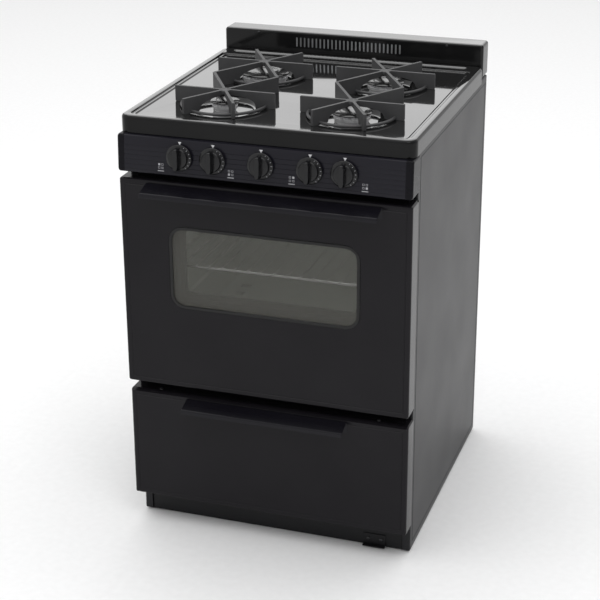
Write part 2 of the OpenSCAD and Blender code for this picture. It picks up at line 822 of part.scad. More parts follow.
// Screws of the handle and of the inner skin
module door_screws() {
    color([0.5, 0.5, 0.5]) {
        for (x = [-handle_w / 2 + 40, handle_w / 2 - 40])
            translate([x, door_y - handle_t - 0.06, handle_z - 12]) rotate([90, 0, 0]) screw();
        for (x = [-half_w + 12, half_w - 12], z = [door_z + 60, door_top - 20])
            translate([x, door_back, z]) rotate([-90, 0, 0])
                screw(head_r = 3.5, head_h = 1.6, shank_r = 2, shank_l = 6);
    }
}

// Seal round the oven opening, on the door
module door_gasket() {
    x1 = oven_w / 2 + 6;
    z0 = oven_z - 6;
    z1 = oven_top + 6;
    color([0.3, 0.3, 0.3]) difference() {
        box([-x1 - seal_w, door_back, z0 - seal_w], [x1 + seal_w, yf - body_gap, z1 + seal_w]);
        box([-x1, door_back - 1, z0], [x1, yf + 1, z1]);
    }
}

// Fixed hinge brackets, each with the eye that the door's pin turns in
module hinge_brackets() {
    color([0.5, 0.5, 0.52]) both_sides() difference() {
        union() {
            box([hinge_x - 1.5, hinge_y, hinge_z - 7], [hinge_x + 1.5, yf - 1.9, hinge_z + 7]);
            rod_x([hinge_x - 1.5, hinge_y, hinge_z], 7, 3);
            box([hinge_x - 9, yf - 2, hinge_z - 7], [hinge_x + 9, yf - 0.05, hinge_z + 26]);
        }
        rod_x([hinge_x - 2, hinge_y, hinge_z], pin_r + run_gap, 4);
    }
}

// Hinge forks inside the door, with their pins
module door_hinge_arms() {
    color([0.55, 0.55, 0.57]) both_sides() {
        for (x = [hinge_x - 6.5, hinge_x + 3.5])
            box([x, door_y + 2.1, door_z + 2.1], [x + 3, hinge_y + 8, hinge_z + 34]);
        box([hinge_x - 6.5, door_y + 2.1, hinge_z + 20], [hinge_x + 6.5, door_y + 5.1, hinge_z + 34]);
        rod_x([hinge_x - 6, hinge_y, hinge_z], pin_r, 12);
    }
}

// Drawer
bevel_d = 8;
bevel_h = 5;

// Across X: the face, the bevel over it and the flat top, down to an end plane at the back
module drawer_profile(inset, end_y) {
    polygon([[-drawer_reach + inset, drawer_z + inset],
        [-drawer_reach + inset, drawer_top - bevel_h - inset * 0.7],
        [-drawer_reach + bevel_d + inset * 0.5, drawer_top - inset],
        [end_y - yf, drawer_top - inset], [end_y - yf, drawer_z + inset]]);
}

// Hollow front with a bevelled top edge
module drawer_front() {
    color([0.07, 0.07, 0.08]) difference() {
        sweep_x(-half_w + 1, half_w - 1) drawer_profile(0, yf - 2);
        sweep_x(-half_w + 3, half_w - 3) drawer_profile(2, yf);
        for (sx = [-1, 1]) rod_z([sx * (half_w - 66), drawer_y + 16, drawer_top - 3], 2.2, 4);
        for (x = [-drawer_handle_w / 2 + 30, drawer_handle_w / 2 - 30])
            rod_y([x, drawer_y - 1, drawer_handle_z - 12], 2.2, 4);
    }
}

// Steel tray with an open top and the side flanges that ride on the rails
module drawer_tray() {
    z1 = tray_z + tray_h;
    color([0.45, 0.46, 0.47]) {
        difference() {
            box([-tray_x, tray_y0, tray_z], [tray_x, tray_y1, z1]);
            box([-tray_x + sheet_t, tray_y0 + sheet_t, tray_z + sheet_t],
                [tray_x - sheet_t, tray_y1 - sheet_t, z1 + 1]);
        }
        both_sides() {
            box([tray_x - lap, yf + 4, z1 - 2], [side_x - flange_w - 2, tray_y1, z1]);
            box([tray_x - sheet_t, drawer_y + 2.1, tray_z], [tray_x, tray_y0 + lap, z1]);
        }
    }
}

// Angle rails on the side panels
module drawer_rails() {
    z1 = tray_z + tray_h;
    color([0.55, 0.56, 0.57]) both_sides() {
        box([rail_x, yf + 3, z1 - 22], [rail_x + 2, yb - 40, z1 + 8]);
        box([tray_x + 3, yf + 3, z1 - 4 - slide_gap], [rail_x + lap, yb - 40, z1 - 2 - slide_gap]);
        box([rail_x + 2 - lap, yf + 30, z1 - 10], [side_x - sheet_t - 0.05, yf + 60, z1]);
        box([rail_x + 2 - lap, yb - 90, z1 - 10], [side_x - sheet_t - 0.05, yb - 60, z1]);
    }
}

module drawer_handle() {
    color([0.05, 0.05, 0.06]) difference() {
        ledge_handle(drawer_handle_w, drawer_handle_reach, drawer_y, drawer_handle_z);
        for (x = [-drawer_handle_w / 2 + 30, drawer_handle_w / 2 - 30])
            rod_y([x, drawer_y - handle_t - 1, drawer_handle_z - 12], 2.2, 4);
    }
}

// Screws of the drawer's front: two in its top edge and two in its handle
module drawer_screws() {
    color([0.6, 0.6, 0.6]) {
        for (sx = [-1, 1]) translate([sx * (half_w - 66), drawer_y + 16, drawer_top]) screw();
        for (x = [-drawer_handle_w / 2 + 30, drawer_handle_w / 2 - 30])
            translate([x, drawer_y - handle_t - 0.06, drawer_handle_z - 12]) rotate([90, 0, 0]) screw();
    }
}

// Broiler pan that stands in the tray
module broiler_pan() {
    color([0.1, 0.1, 0.11]) {
        difference() {
            box([-pan_x, pan_y0, pan_z], [pan_x, pan_y1, pan_z + pan_h]);
            box([-pan_x + 1.5, pan_y0 + 1.5, pan_z + 1.5], [pan_x - 1.5, pan_y1 - 1.5, pan_z + pan_h + 1]);
        }
        difference() {
            box([-pan_x - 8, pan_y0 - 8, pan_z + pan_h - 1.5], [pan_x + 8, pan_y1 + 8, pan_z + pan_h]);
            box([-pan_x + 1.5, pan_y0 + 1.5, pan_z + pan_h - 3],
                [pan_x - 1.5, pan_y1 - 1.5, pan_z + pan_h + 1]);
        }
    }
}

// Oven rack: a wire frame and wires from front to back
module oven_rack() {
    n = 15;
    pitch = 2 * (rack_x - 8) / (n + 1);
    lift = rack_frame_r - rack_wire_r + 0.4;
    color([0.75, 0.75, 0.76]) translate([0, 0, rack_plane]) {
        both_sides()
            rod_y([rack_x - rack_frame_r, rack_front, 0], rack_frame_r - 0.3, rack_back - rack_front);
        for (y = [rack_front, rack_back]) rod_x([-rack_x, y, 0], rack_frame_r, 2 * rack_x);
        rod_x([-rack_x + rack_frame_r, (rack_front + rack_back) / 2, -0.5], 2, 2 * (rack_x - rack_frame_r));
        for (i = [1:n])
            rod_y([-rack_x + 8 + i * pitch, rack_front, lift], rack_wire_r, rack_back - rack_front);
    }
}

// Screws of the cabinet: kick bracket, backguard, side panels' lower edge and back sheet
module cabinet_screws() {
    color([0.7, 0.7, 0.7]) {
        for (x = [bracket_x0 + 10, bracket_x1 - 10])
            translate([x, bracket_y - 2, 18]) rotate([90, 0, 0])
                screw(head_r = 4, head_h = 2, shank_r = 2.4, shank_l = 1.9);
        translate([220, guard_y, guard_top - 7]) rotate([90, 0, 0]) cylinder(r = 3, h = 1.5, $fn = 24);
        translate([-220, guard_y, guard_top - 7]) rotate([90, 0, 0]) cylinder(r = 3, h = 1.5, $fn = 24);
        for (sx = [-1, 1], z = back_screw_zs)
            translate([sx * back_screw_x, yb - sheet_t + 0.1, z]) rotate([-90, 0, 0]) screw(head_r = back_screw_r, head_h = sheet_t - 0.2, shank_r = 2, shank_l = 8);
    }
}

side_panel_left();
side_panel_right();
back_panel();
base_frame();
kick_panel();
kick_bracket();
leveling_feet();
front_frame();
cooktop();
backguard();
control_panel();
panel_end_caps();
gas_manifold();
burner_valves();
oven_thermostat();
pressure_regulator();
gas_inlet_nipple();
burner_tubes();
burner_heads();
igniter_electrodes();
spark_module();
oven_liner();
oven_insulation();
oven_floor();
oven_burner();
flue_duct();
hinge_brackets();
drawer_rails();
cabinet_screws();
door_panel();
door_inner_panel();
door_glass_outer();
door_glass_inner();
window_bezel();
door_handle();
door_hinge_arms();
door_screws();
door_gasket();
drawer_front();
drawer_tray();
drawer_handle();
drawer_screws();
broiler_pan();
oven_rack();
grate_left();
grate_right();
burner_cap_front_left();
burner_cap_front_right();
burner_cap_rear_left();
burner_cap_rear_right();
knob_rear_left();
knob_front_left();
knob_oven();
knob_rear_right();
knob_front_right();
stem_rear_left();
stem_front_left();
stem_oven();
stem_rear_right();
stem_front_right();
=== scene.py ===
"""Looks of a black freestanding gas range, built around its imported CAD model.

Every length is in metres, in the model's own frame: +Z up, the front faces -Y.
"""

from __future__ import annotations

import logging
import math
from dataclasses import dataclass, field
from enum import Enum
from typing import Callable, Iterable, Sequence

import bmesh
import bpy
from mathutils import Matrix, Vector


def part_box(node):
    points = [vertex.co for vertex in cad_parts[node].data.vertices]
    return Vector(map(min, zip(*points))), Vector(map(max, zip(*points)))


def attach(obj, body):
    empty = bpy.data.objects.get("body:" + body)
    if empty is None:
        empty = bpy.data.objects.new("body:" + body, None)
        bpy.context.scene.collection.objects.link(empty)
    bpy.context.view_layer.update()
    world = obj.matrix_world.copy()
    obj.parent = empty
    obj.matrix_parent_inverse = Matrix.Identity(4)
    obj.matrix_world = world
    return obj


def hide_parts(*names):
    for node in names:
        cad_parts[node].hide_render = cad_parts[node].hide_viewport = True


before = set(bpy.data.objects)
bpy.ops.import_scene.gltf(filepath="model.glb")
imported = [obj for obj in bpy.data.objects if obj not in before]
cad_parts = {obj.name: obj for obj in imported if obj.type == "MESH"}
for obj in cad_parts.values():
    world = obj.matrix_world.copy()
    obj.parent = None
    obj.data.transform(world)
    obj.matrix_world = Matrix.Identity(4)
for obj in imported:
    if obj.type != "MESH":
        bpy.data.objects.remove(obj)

LOG = logging.getLogger("range")
SHEET = 0.0012
MERGE = 1e-6
BEVEL_DEG = 35.0
NORMAL_WEIGHT = 80

KNOB_NAMES = ("rear_left", "front_left", "oven", "rear_right", "front_right")

Point = tuple[float, float, float]
Point2 = tuple[float, float]
Colour = tuple[float, float, float]


# ---------------------------------------------------------------- shader graph


def _operator(operation: str, swapped: bool = False) -> Callable[["Sock", object], "Sock"]:
    """A method that turns an expression on a socket into a Math node.

    Args:
        operation: The Math node's operation.
        swapped: Whether the socket stands on the right of the operator.

    Returns:
        The method.
    """
    def apply(self: "Sock", other: object) -> "Sock":
        """Combine the socket with a value or another socket."""
        return self._math(operation, other, self) if swapped else self._math(operation, self, other)

    return apply


class Sock:
    """A shader socket that adds Math nodes when it is used in an expression."""

    def __init__(self, graph: "Graph", socket: bpy.types.NodeSocket) -> None:
        """Wrap a socket.

        Args:
            graph: The graph that the socket's node belongs to.
            socket: The output socket.
        """
        self.graph = graph
        self.socket = socket

    def _math(self, operation: str, first: object, second: object) -> "Sock":
        """Add a Math node and return its result."""
        return self.graph.add("ShaderNodeMath", {"operation": operation}, {0: first, 1: second})

    __add__, __radd__ = _operator("ADD"), _operator("ADD", True)
    __mul__, __rmul__ = _operator("MULTIPLY"), _operator("MULTIPLY", True)

    def above(self, limit: float) -> "Sock":
        """1 where the value is over the limit, else 0."""
        return self._math("GREATER_THAN", self, limit)

    def below(self, limit: float) -> "Sock":
        """1 where the value is under the limit, else 0."""
        return self._math("LESS_THAN", self, limit)


class Graph:
    """The node tree of one material, around one Principled shader."""

    def __init__(self, name: str) -> None:
        """Start a material with an empty tree.

        Args:
            name: The material's name.
        """
        self.material = bpy.data.materials.new(name)
        self.material.use_nodes = True
        self.tree = self.material.node_tree
        self.tree.nodes.clear()
        self.shader = self.tree.nodes.new("ShaderNodeBsdfPrincipled")
        self.output = self.tree.nodes.new("ShaderNodeOutputMaterial")
        self.tree.links.new(self.shader.outputs["BSDF"], self.output.inputs["Surface"])

    def feed(self, node: bpy.types.Node, key: int | str, value: object) -> None:
        """Link or set one input of a node.

        Args:
            node: The node.
            key: The input's name or number.
            value: A Sock to link, or a plain value.
        """
        if isinstance(value, Sock):
            self.tree.links.new(value.socket, node.inputs[key])
        else:
            node.inputs[key].default_value = value

    def add(self, kind: str, settings: dict[str, object] | None = None,
            inputs: dict[int | str, object] | None = None, output: int | str = 0) -> Sock:
        """Add any node.

        Args:
            kind: Blender's type name of the node.
            settings: Properties that are set first, such as a Math node's operation.
            inputs: Values or links by the input's name or number.
            output: The output to return.

        Returns:
            The chosen output.
        """
        node = self.tree.nodes.new(kind)
        for key, value in (settings or {}).items():
            setattr(node, key, value)
        for key, value in (inputs or {}).items():
            self.feed(node, key, value)
        return Sock(self, node.outputs[output])

    def place(self) -> Sock:
        """The position on the piece, in metres."""
        return self.add("ShaderNodeTexCoord", output="Object")

    def stretched(self, place: Sock, scale: Point) -> Sock:
        """The position with each axis multiplied by its own number."""
        return self.add("ShaderNodeVectorMath", {"operation": "MULTIPLY"}, {0: place, 1: scale})

    def noise(self, place: Sock, scale: float, detail: float = 2.0) -> Sock:
        """Soft noise from 0 to 1."""
        return self.add("ShaderNodeTexNoise", None, {"Vector": place, "Scale": scale, "Detail": detail},
                        "Fac")

    def cells(self, place: Sock, scale: float, output: str = "Distance") -> Sock:
        """Voronoi cells: the distance to a cell's point, or its colour."""
        return self.add("ShaderNodeTexVoronoi", None, {"Vector": place, "Scale": scale}, output)

    def mix(self, factor: Sock | float, first: object, second: object) -> Sock:
        """A colour between two colours."""
        pair = [(*c, 1.0) if isinstance(c, tuple) else c for c in (first, second)]
        return self.add("ShaderNodeMix", {"data_type": "RGBA"}, {0: factor, 6: pair[0], 7: pair[1]}, 2)

    def bump(self, height: Sock, strength: float, distance: float) -> Sock:
        """A normal from a height."""
        return self.add("ShaderNodeBump", None,
                        {"Strength": strength, "Distance": distance, "Height": height}, "Normal")

    def set(self, **values: object) -> None:
        """Set or link the shader's sockets, with underscores for spaces in their names.

        Args:
            values: Value or link by the socket's name.
        """
        for key, value in values.items():
            plain = (*value, 1.0) if isinstance(value, tuple) and len(value) == 3 else value
            self.feed(self.shader, key.replace("_", " "), plain)


# ------------------------------------------------------------------- finishes


@dataclass(frozen=True)
class Finish:
    """A finish that every surface of one kind shares."""

    name: str
    colour: Colour
    roughness: float = 0.3

    def paint(self, g: Graph) -> None:
        """Fill the graph.

        Args:
            g: The material's graph.
        """
        g.set(Base_Color=self.colour, Roughness=self.roughness)

    def material(self) -> bpy.types.Material:
        """The finish's material, made on first use.

        Returns:
            The material.
        """
        made = bpy.data.materials.get("look_" + self.name)
        if made is None:
            graph = Graph("look_" + self.name)
            self.paint(graph)
            made = graph.material
        return made


@dataclass(frozen=True)
class Enamel(Finish):
    """Paint or porcelain enamel: a fine orange peel, faint smudges and dust."""

    peel_scale: float = 700.0
    peel: float = 0.05
    smudge: float = 0.10
    specular: float = 0.5
    coat: float = 0.0
    dust: Colour = (0.10, 0.10, 0.105)

    def paint(self, g: Graph) -> None:
        """Fill the graph.

        Args:
            g: The material's graph.
        """
        place = g.place()
        cloud = g.noise(place, 7.0, 4.0)
        fine = g.noise(place, self.peel_scale, 1.0)
        speck = g.noise(place, 1800.0, 0.0).above(0.80)
        film = cloud * 0.05 + speck * 0.25
        g.set(Base_Color=g.mix(film, self.colour, self.dust),
              Roughness=cloud * self.smudge + (self.roughness - self.smudge * 0.5),
              Normal=g.bump(fine + cloud * 0.6, self.peel, 0.0006),
              Specular_IOR_Level=self.specular, Coat_Weight=self.coat, Coat_Roughness=0.03)


@dataclass(frozen=True)
class GlossTop(Enamel):
    """Enamel whose clear glaze pools on the level faces, given as bands of height."""

    bands: tuple[Point2, ...] = ((0.9142, 0.93), (0.9110, 0.9117), (0.9087, 0.9094), (0.89, 0.8988))
    inner_x: float = 0.2925
    inner_y: float = -0.282
    glaze_ior: float = 1.9

    def paint(self, g: Graph) -> None:
        """Fill the graph.

        Args:
            g: The material's graph.
        """
        super().paint(g)
        across, along, height = (g.add("ShaderNodeSeparateXYZ", None, {0: g.place()}, i) for i in range(3))
        inside = (across * across).below(self.inner_x ** 2) * along.above(self.inner_y)
        masks = [height.above(low) * height.below(high) for low, high in self.bands]
        level = masks[0]
        for mask in masks[1:]:
            level = level + mask * inside
        g.set(Coat_Weight=level * self.coat, Coat_IOR=self.glaze_ior, Coat_Roughness=0.02)


@dataclass(frozen=True)
class Speckled(Finish):
    """Porcelain enamel with pale specks, as inside an oven."""

    speck: Colour = (0.62, 0.64, 0.60)
    scale: float = 420.0

    def paint(self, g: Graph) -> None:
        """Fill the graph.

        Args:
            g: The material's graph.
        """
        place = g.place()
        dots = g.cells(place, self.scale).below(0.22)
        patches = g.noise(place, 12.0, 3.0)
        g.set(Base_Color=g.mix(dots * 0.7 + patches * 0.1, self.colour, self.speck),
              Roughness=patches * 0.2 + self.roughness,
              Normal=g.bump(g.noise(place, 260.0), 0.12, 0.0005))


@dataclass(frozen=True)
class Cast(Finish):
    """Matte enamelled iron: a sandy surface, paler where hands and pans rub it."""

    rub: Colour = (0.20, 0.20, 0.205)
    specular: float = 0.5

    def paint(self, g: Graph) -> None:
        """Fill the graph.

        Args:
            g: The material's graph.
        """
        place = g.place()
        sand = g.noise(place, 900.0, 4.0)
        patches = g.noise(place, 45.0, 3.0)
        g.set(Base_Color=g.mix((patches * 0.35 + sand * 0.35), self.colour, self.rub),
              Roughness=patches * 0.2 + self.roughness,
              Normal=g.bump(sand, 0.35, 0.0006), Specular_IOR_Level=self.specular)


class Grain(Enum):
    """The marks that a metal surface has."""

    SPANGLE = "zinc crystals"
    TURNED = "fine turning marks"
    SANDCAST = "cast grain"


@dataclass(frozen=True)
class Metal(Finish):
    """Bare or plated metal."""

    grain: Grain = Grain.TURNED
    stain: Colour = (0.35, 0.33, 0.30)
    metallic: float = 1.0

    def paint(self, g: Graph) -> None:
        """Fill the graph.

        Args:
            g: The material's graph.
        """
        place = g.place()
        patches = g.noise(place, 30.0, 3.0)
        if self.grain is Grain.SPANGLE:
            marks = g.cells(place, 110.0, "Color")
            value = g.add("ShaderNodeRGBToBW", None, {0: marks})
            bump = g.bump(value + patches, 0.05, 0.0004)
        elif self.grain is Grain.SANDCAST:
            value = g.noise(place, 700.0, 3.0)
            bump = g.bump(value, 0.30, 0.0005)
        else:
            value = g.noise(g.stretched(place, (40.0, 40.0, 2500.0)), 1.0, 3.0)
            bump = g.bump(value, 0.06, 0.0003)
        g.set(Base_Color=g.mix(patches * 0.25 + value * 0.18, self.colour, self.stain),
              Metallic=self.metallic, Roughness=value * 0.16 + self.roughness, Normal=bump)


@dataclass(frozen=True)
class Moulded(Finish):
    """Moulded plastic with a very fine texture."""

    texture: float = 0.08
    specular: float = 0.5

    def paint(self, g: Graph) -> None:
        """Fill the graph.

        Args:
            g: The material's graph.
        """
        place = g.place()
        fine = g.noise(place, 1500.0, 2.0)
        patches = g.noise(place, 60.0, 2.0)
        pale = tuple(min(1.0, c * 1.35 + 0.001) for c in self.colour)
        g.set(Base_Color=g.mix(patches * 0.5, self.colour, pale),
              Roughness=patches * 0.12 + self.roughness, Normal=g.bump(fine, self.texture, 0.0003),
              Specular_IOR_Level=self.specular)


@dataclass(frozen=True)
class Glass(Finish):
    """Window glass, seen through by its alpha, with faint wipe marks."""

    alpha: float = 0.4

    def paint(self, g: Graph) -> None:
        """Fill the graph.

        Args:
            g: The material's graph.
        """
        place = g.place()
        wipes = g.noise(g.stretched(place, (3.0, 3.0, 24.0)), 2.0, 3.0)
        g.set(Base_Color=self.colour, Roughness=wipes * 0.04 + self.roughness,
              Alpha=wipes * 0.03 + self.alpha, Specular_IOR_Level=0.5,
              Normal=g.bump(wipes, 0.02, 0.0004))


@dataclass(frozen=True)
class Fibre(Finish):
    """Mineral wool or a braided seal."""

    scale: float = 240.0
    dark: Colour = (0.30, 0.28, 0.22)

    def paint(self, g: Graph) -> None:
        """Fill the graph.

        Args:
            g: The material's graph.
        """
        place = g.place()
        strands = g.noise(g.stretched(place, (1.0, 1.0, 3.0)), self.scale, 6.0)
        lumps = g.noise(place, 25.0, 2.0)
        g.set(Base_Color=g.mix(strands * 0.8, self.dark, self.colour), Roughness=0.95,
              Normal=g.bump(strands + lumps, 0.8, 0.003), Sheen_Weight=0.2)


@dataclass(frozen=True)
class Print(Finish):
    """Printed marks, slightly uneven."""

    def paint(self, g: Graph) -> None:
        """Fill the graph.

        Args:
            g: The material's graph.
        """
        wear = g.noise(g.place(), 900.0, 2.0)
        g.set(Base_Color=g.mix(wear * 0.3, self.colour, tuple(c * 0.7 for c in self.colour)),
              Roughness=wear * 0.2 + self.roughness)


BLACK_ENAMEL = Enamel("black_enamel", (0.0060, 0.0052, 0.0068), 0.17, specular=0.16)
TOP_ENAMEL = GlossTop("cooktop_enamel", (0.0055, 0.0055, 0.0055), 0.08, peel=0.02, smudge=0.04, specular=0.16,
                      coat=1.0)
GUARD_ENAMEL = GlossTop("backguard_enamel", (0.005, 0.005, 0.005), 0.10, peel=0.03, smudge=0.05,
                        specular=0.25, coat=1.0, bands=((0.9605, 0.97),), inner_x=1.0, inner_y=-1.0)
# Side panel paint: partly a real satin black finish, partly painted light, because its colour is set a little
# lighter than the front's black to stand for the light that falls on the sides.
SIDE_PAINT_PAINTED_LIGHT = Enamel("side_paint_painted_light", (0.015, 0.015, 0.0165), 0.36, peel=0.16, smudge=0.12, specular=0.16)
PANEL_PAINT = Enamel("panel_paint", (0.0085, 0.008, 0.0125), 0.22, specular=0.18)
HANDLE_PAINT = Enamel("handle_paint", (0.0045, 0.004, 0.0065), 0.20, specular=0.20)
BEZEL_PRINT = Enamel("window_bezel_print", (0.004, 0.004, 0.004), 0.12, specular=0.3)
FRAME_PAINT = Enamel("frame_paint", (0.008, 0.008, 0.009), 0.35, specular=0.2)
CAP_ENAMEL = Enamel("burner_cap_enamel", (0.010, 0.010, 0.010), 0.22, peel=0.10, specular=0.5, coat=0.6)
OVEN_ENAMEL = Speckled("oven_enamel", (0.30, 0.325, 0.29), 0.40)
GRATE_IRON = Cast("grate_iron", (0.030, 0.030, 0.031), 0.42, rub=(0.085, 0.085, 0.087))
TUNNEL_ENAMEL = Speckled("door_inner_enamel", (0.020, 0.022, 0.019), 0.45, speck=(0.12, 0.13, 0.12))
CAST_ALUMINIUM = Metal("cast_aluminium", (0.86, 0.86, 0.87), 0.30, grain=Grain.SANDCAST,
                       stain=(0.7, 0.7, 0.7), metallic=0.75)
GALVANISED = Metal("galvanised_steel", (0.56, 0.57, 0.58), 0.34, grain=Grain.SPANGLE,
                   stain=(0.38, 0.39, 0.41))
SCREW_STEEL = Metal("black_screw_steel", (0.055, 0.055, 0.058), 0.30, stain=(0.09, 0.09, 0.09))
BRIGHT_STEEL = Metal("bright_steel", (0.70, 0.70, 0.70), 0.18)
BLACK_PIPE = Metal("black_pipe", (0.10, 0.10, 0.10), 0.42, grain=Grain.SANDCAST, stain=(0.14, 0.11, 0.09))
BRASS = Metal("turned_brass", (0.72, 0.54, 0.24), 0.24)
KNOB_PLASTIC = Moulded("knob_plastic", (0.0055, 0.0055, 0.0062), 0.16, specular=0.35)
CAP_PLASTIC = Moulded("end_cap_plastic", (0.006, 0.0057, 0.0075), 0.22, specular=0.08)
MODULE_PLASTIC = Moulded("module_plastic", (0.55, 0.53, 0.46), 0.5)
ELECTRODE_CERAMIC = Moulded("electrode_ceramic", (0.80, 0.78, 0.72), 0.25)
OUTER_GLASS = Glass("outer_window_glass", (0.120, 0.117, 0.102), 0.03, alpha=0.28)
INNER_GLASS = Glass("inner_window_glass", (0.10, 0.115, 0.10), 0.04, alpha=0.08)
WOOL = Fibre("mineral_wool", (0.75, 0.72, 0.60), 0.95)
SEAL = Fibre("braided_seal", (0.22, 0.22, 0.21), 0.9, scale=500.0, dark=(0.07, 0.07, 0.07))
WHITE_PRINT = Print("white_print", (0.78, 0.78, 0.80), 0.45)
GREY_PRINT = Print("grey_print", (0.40, 0.40, 0.42), 0.45)


# ------------------------------------------------------------------- shapes


def rounded_rect(x0: float, x1: float, y0: float, y1: float, radius: float, steps: int = 8) -> list[Point2]:
    """A rectangle with round corners, counter-clockwise.

    Args:
        x0: Left edge.
        x1: Right edge.
        y0: Lower edge.
        y1: Upper edge.
        radius: Corner radius.
        steps: Segments in each corner.

    Returns:
        4 * (steps + 1) points, starting at the lower right corner.
    """
    arcs = ((x1 - radius, y0 + radius, -90), (x1 - radius, y1 - radius, 0),
            (x0 + radius, y1 - radius, 90), (x0 + radius, y0 + radius, 180))
    points = []
    for cx, cy, start in arcs:
        for i in range(steps + 1):
            a = math.radians(start + 90 * i / steps)
            points.append((cx + radius * math.cos(a), cy + radius * math.sin(a)))
    return points


def corners(x0: float, x1: float, y0: float, y1: float) -> list[Point2]:
    """The corners of a rectangle, counter-clockwise."""
    return [(x0, y0), (x1, y0), (x1, y1), (x0, y1)]


def circle(cx: float, cy: float, radius: float, count: int = 64) -> list[Point2]:
    """Points on a circle, counter-clockwise."""
    return [(cx + radius * math.cos(math.tau * i / count), cy + radius * math.sin(math.tau * i / count))
            for i in range(count)]


class Facing(Enum):
    """The side of the range that a flat outline is drawn on."""

    FRONT = "front"
    RIGHT = "right"
    LEFT = "left"

    def point(self, u: float, v: float, depth: float, plane: float) -> Point:
        """A point of an outline in space.

        Args:
            u: Across the outline.
            v: Up the outline.
            depth: Distance into the range from the plane.
            plane: Where the plane is.

        Returns:
            The point.
        """
        if self is Facing.FRONT:
            return (u, plane + depth, v)
        side = 1.0 if self is Facing.RIGHT else -1.0
        return (side * (plane - depth), u, v)


@dataclass
class Shape:
    """A mesh under construction."""

    points: list[Point] = field(default_factory=list)
    faces: list[list[int]] = field(default_factory=list)

    def ring(self, points: Iterable[Point]) -> list[int]:
        """Add a row of points and return their numbers.

        Args:
            points: The row's points.

        Returns:
            The points' numbers.
        """
        start = len(self.points)
        self.points.extend(points)
        return list(range(start, len(self.points)))

    def bridge(self, first: Sequence[int], second: Sequence[int], closed: bool = True) -> None:
        """Join two rows of the same length with quads.

        Args:
            first: Point numbers of one row.
            second: Point numbers of the other row.
            closed: Whether the rows are loops.
        """
        n = len(first)
        for i in range(n if closed else n - 1):
            j = (i + 1) % n
            self.faces.append([first[i], first[j], second[j], second[i]])

    def skin(self, rows: Sequence[Iterable[Point]], cap_start: bool = False, cap_end: bool = False,
             closed: bool = True) -> list[list[int]]:
        """Join rows one after the other.

        Args:
            rows: Rows of points, all of one length.
            cap_start: Close the first row with a face.
            cap_end: Close the last row with a face.
            closed: Whether each row is a loop.

        Returns:
            The rows' point numbers.
        """
        rings = [self.ring(row) for row in rows]
        for first, second in zip(rings, rings[1:]):
            self.bridge(first, second, closed)
        if cap_start:
            self.faces.append(list(reversed(rings[0])))
        if cap_end:
            self.faces.append(list(rings[-1]))
        return rings

    def box(self, lo: Point, hi: Point) -> None:
        """Add a closed box."""
        base = [(lo[0], lo[1]), (hi[0], lo[1]), (hi[0], hi[1]), (lo[0], hi[1])]
        self.skin([[(x, y, z) for x, y in base] for z in (lo[2], hi[2])], True, True)

    def revolve(self, profile: Sequence[Point2], centre: Point, count: int = 48,
                wave: Callable[[int, float], float] | None = None, cap: bool = False) -> None:
        """Turn a profile about an upright axis.

        Args:
            profile: Radius and height of each ring, from the first to the last.
            centre: Foot of the axis.
            count: Segments round the axis.
            wave: Extra radius for a ring's number and an angle.
            cap: Close both ends.
        """
        rows = []
        for k, (radius, height) in enumerate(profile):
            row = []
            for i in range(count):
                a = math.tau * i / count
                r = radius + (wave(k, a) if wave else 0.0)
                row.append((centre[0] + r * math.cos(a), centre[1] + r * math.sin(a), centre[2] + height))
            rows.append(row)
        self.skin(rows, cap, cap)

    def fill(self, outer: Sequence[int], holes: Sequence[Sequence[int]]) -> None:
        """Fill a flat outline that has holes in it.

        Args:
            outer: Point numbers of the outer loop.
            holes: Point numbers of each hole's loop.
        """
        bm = bmesh.new()
        lookup = {}
        edges = []
        for loop in (outer, *holes):
            verts = []
            for number in loop:
                vert = bm.verts.new(self.points[number])
                lookup[vert] = number
                verts.append(vert)
            edges += [bm.edges.new((verts[i], verts[(i + 1) % len(verts)])) for i in range(len(verts))]
        bmesh.ops.triangle_fill(bm, edges=edges, use_beauty=True)
        self.faces.extend([lookup[v] for v in face.verts] for face in bm.faces)
        bm.free()

    def move(self, matrix: Matrix) -> "Shape":
        """Transform all points and return the shape."""
        self.points = [tuple(matrix @ Vector(p)) for p in self.points]
        return self

    def cut_out(self, lo: Point, hi: Point) -> None:
        """Slice the faces at a box's sides and drop what lies inside it.

        Args:
            lo: The box's lowest corner.
            hi: The box's highest corner.
        """
        bm = bmesh.new()
        verts = [bm.verts.new(p) for p in self.points]
        for face in self.faces:
            bm.faces.new([verts[i] for i in face])
        for axis in range(3):
            normal = [float(k == axis) for k in range(3)]
            for corner in (lo, hi):
                near = [f for f in bm.faces
                        if all(min(v.co[k] for v in f.verts) < hi[k] for k in range(3))
                        and all(max(v.co[k] for v in f.verts) > lo[k] for k in range(3))]
                edges = {edge for f in near for edge in f.edges}
                corners = {vert for f in near for vert in f.verts}
                bmesh.ops.bisect_plane(bm, geom=[*near, *edges, *corners], dist=MERGE, plane_co=corner,
                                       plane_no=normal)
        inside = [f for f in bm.faces if all(lo[k] < f.calc_center_median()[k] < hi[k] for k in range(3))]
        bmesh.ops.delete(bm, geom=inside, context="FACES")
        bm.verts.index_update()
        self.points = [tuple(v.co) for v in bm.verts]
        self.faces = [[v.index for v in f.verts] for f in bm.faces]
        bm.free()

    def join(self, other: "Shape") -> None:
        """Add another shape's faces.

        Args:
            other: The shape to add.
        """
        start = len(self.points)
        self.points.extend(other.points)
        self.faces.extend([i + start for i in f] for f in other.faces)


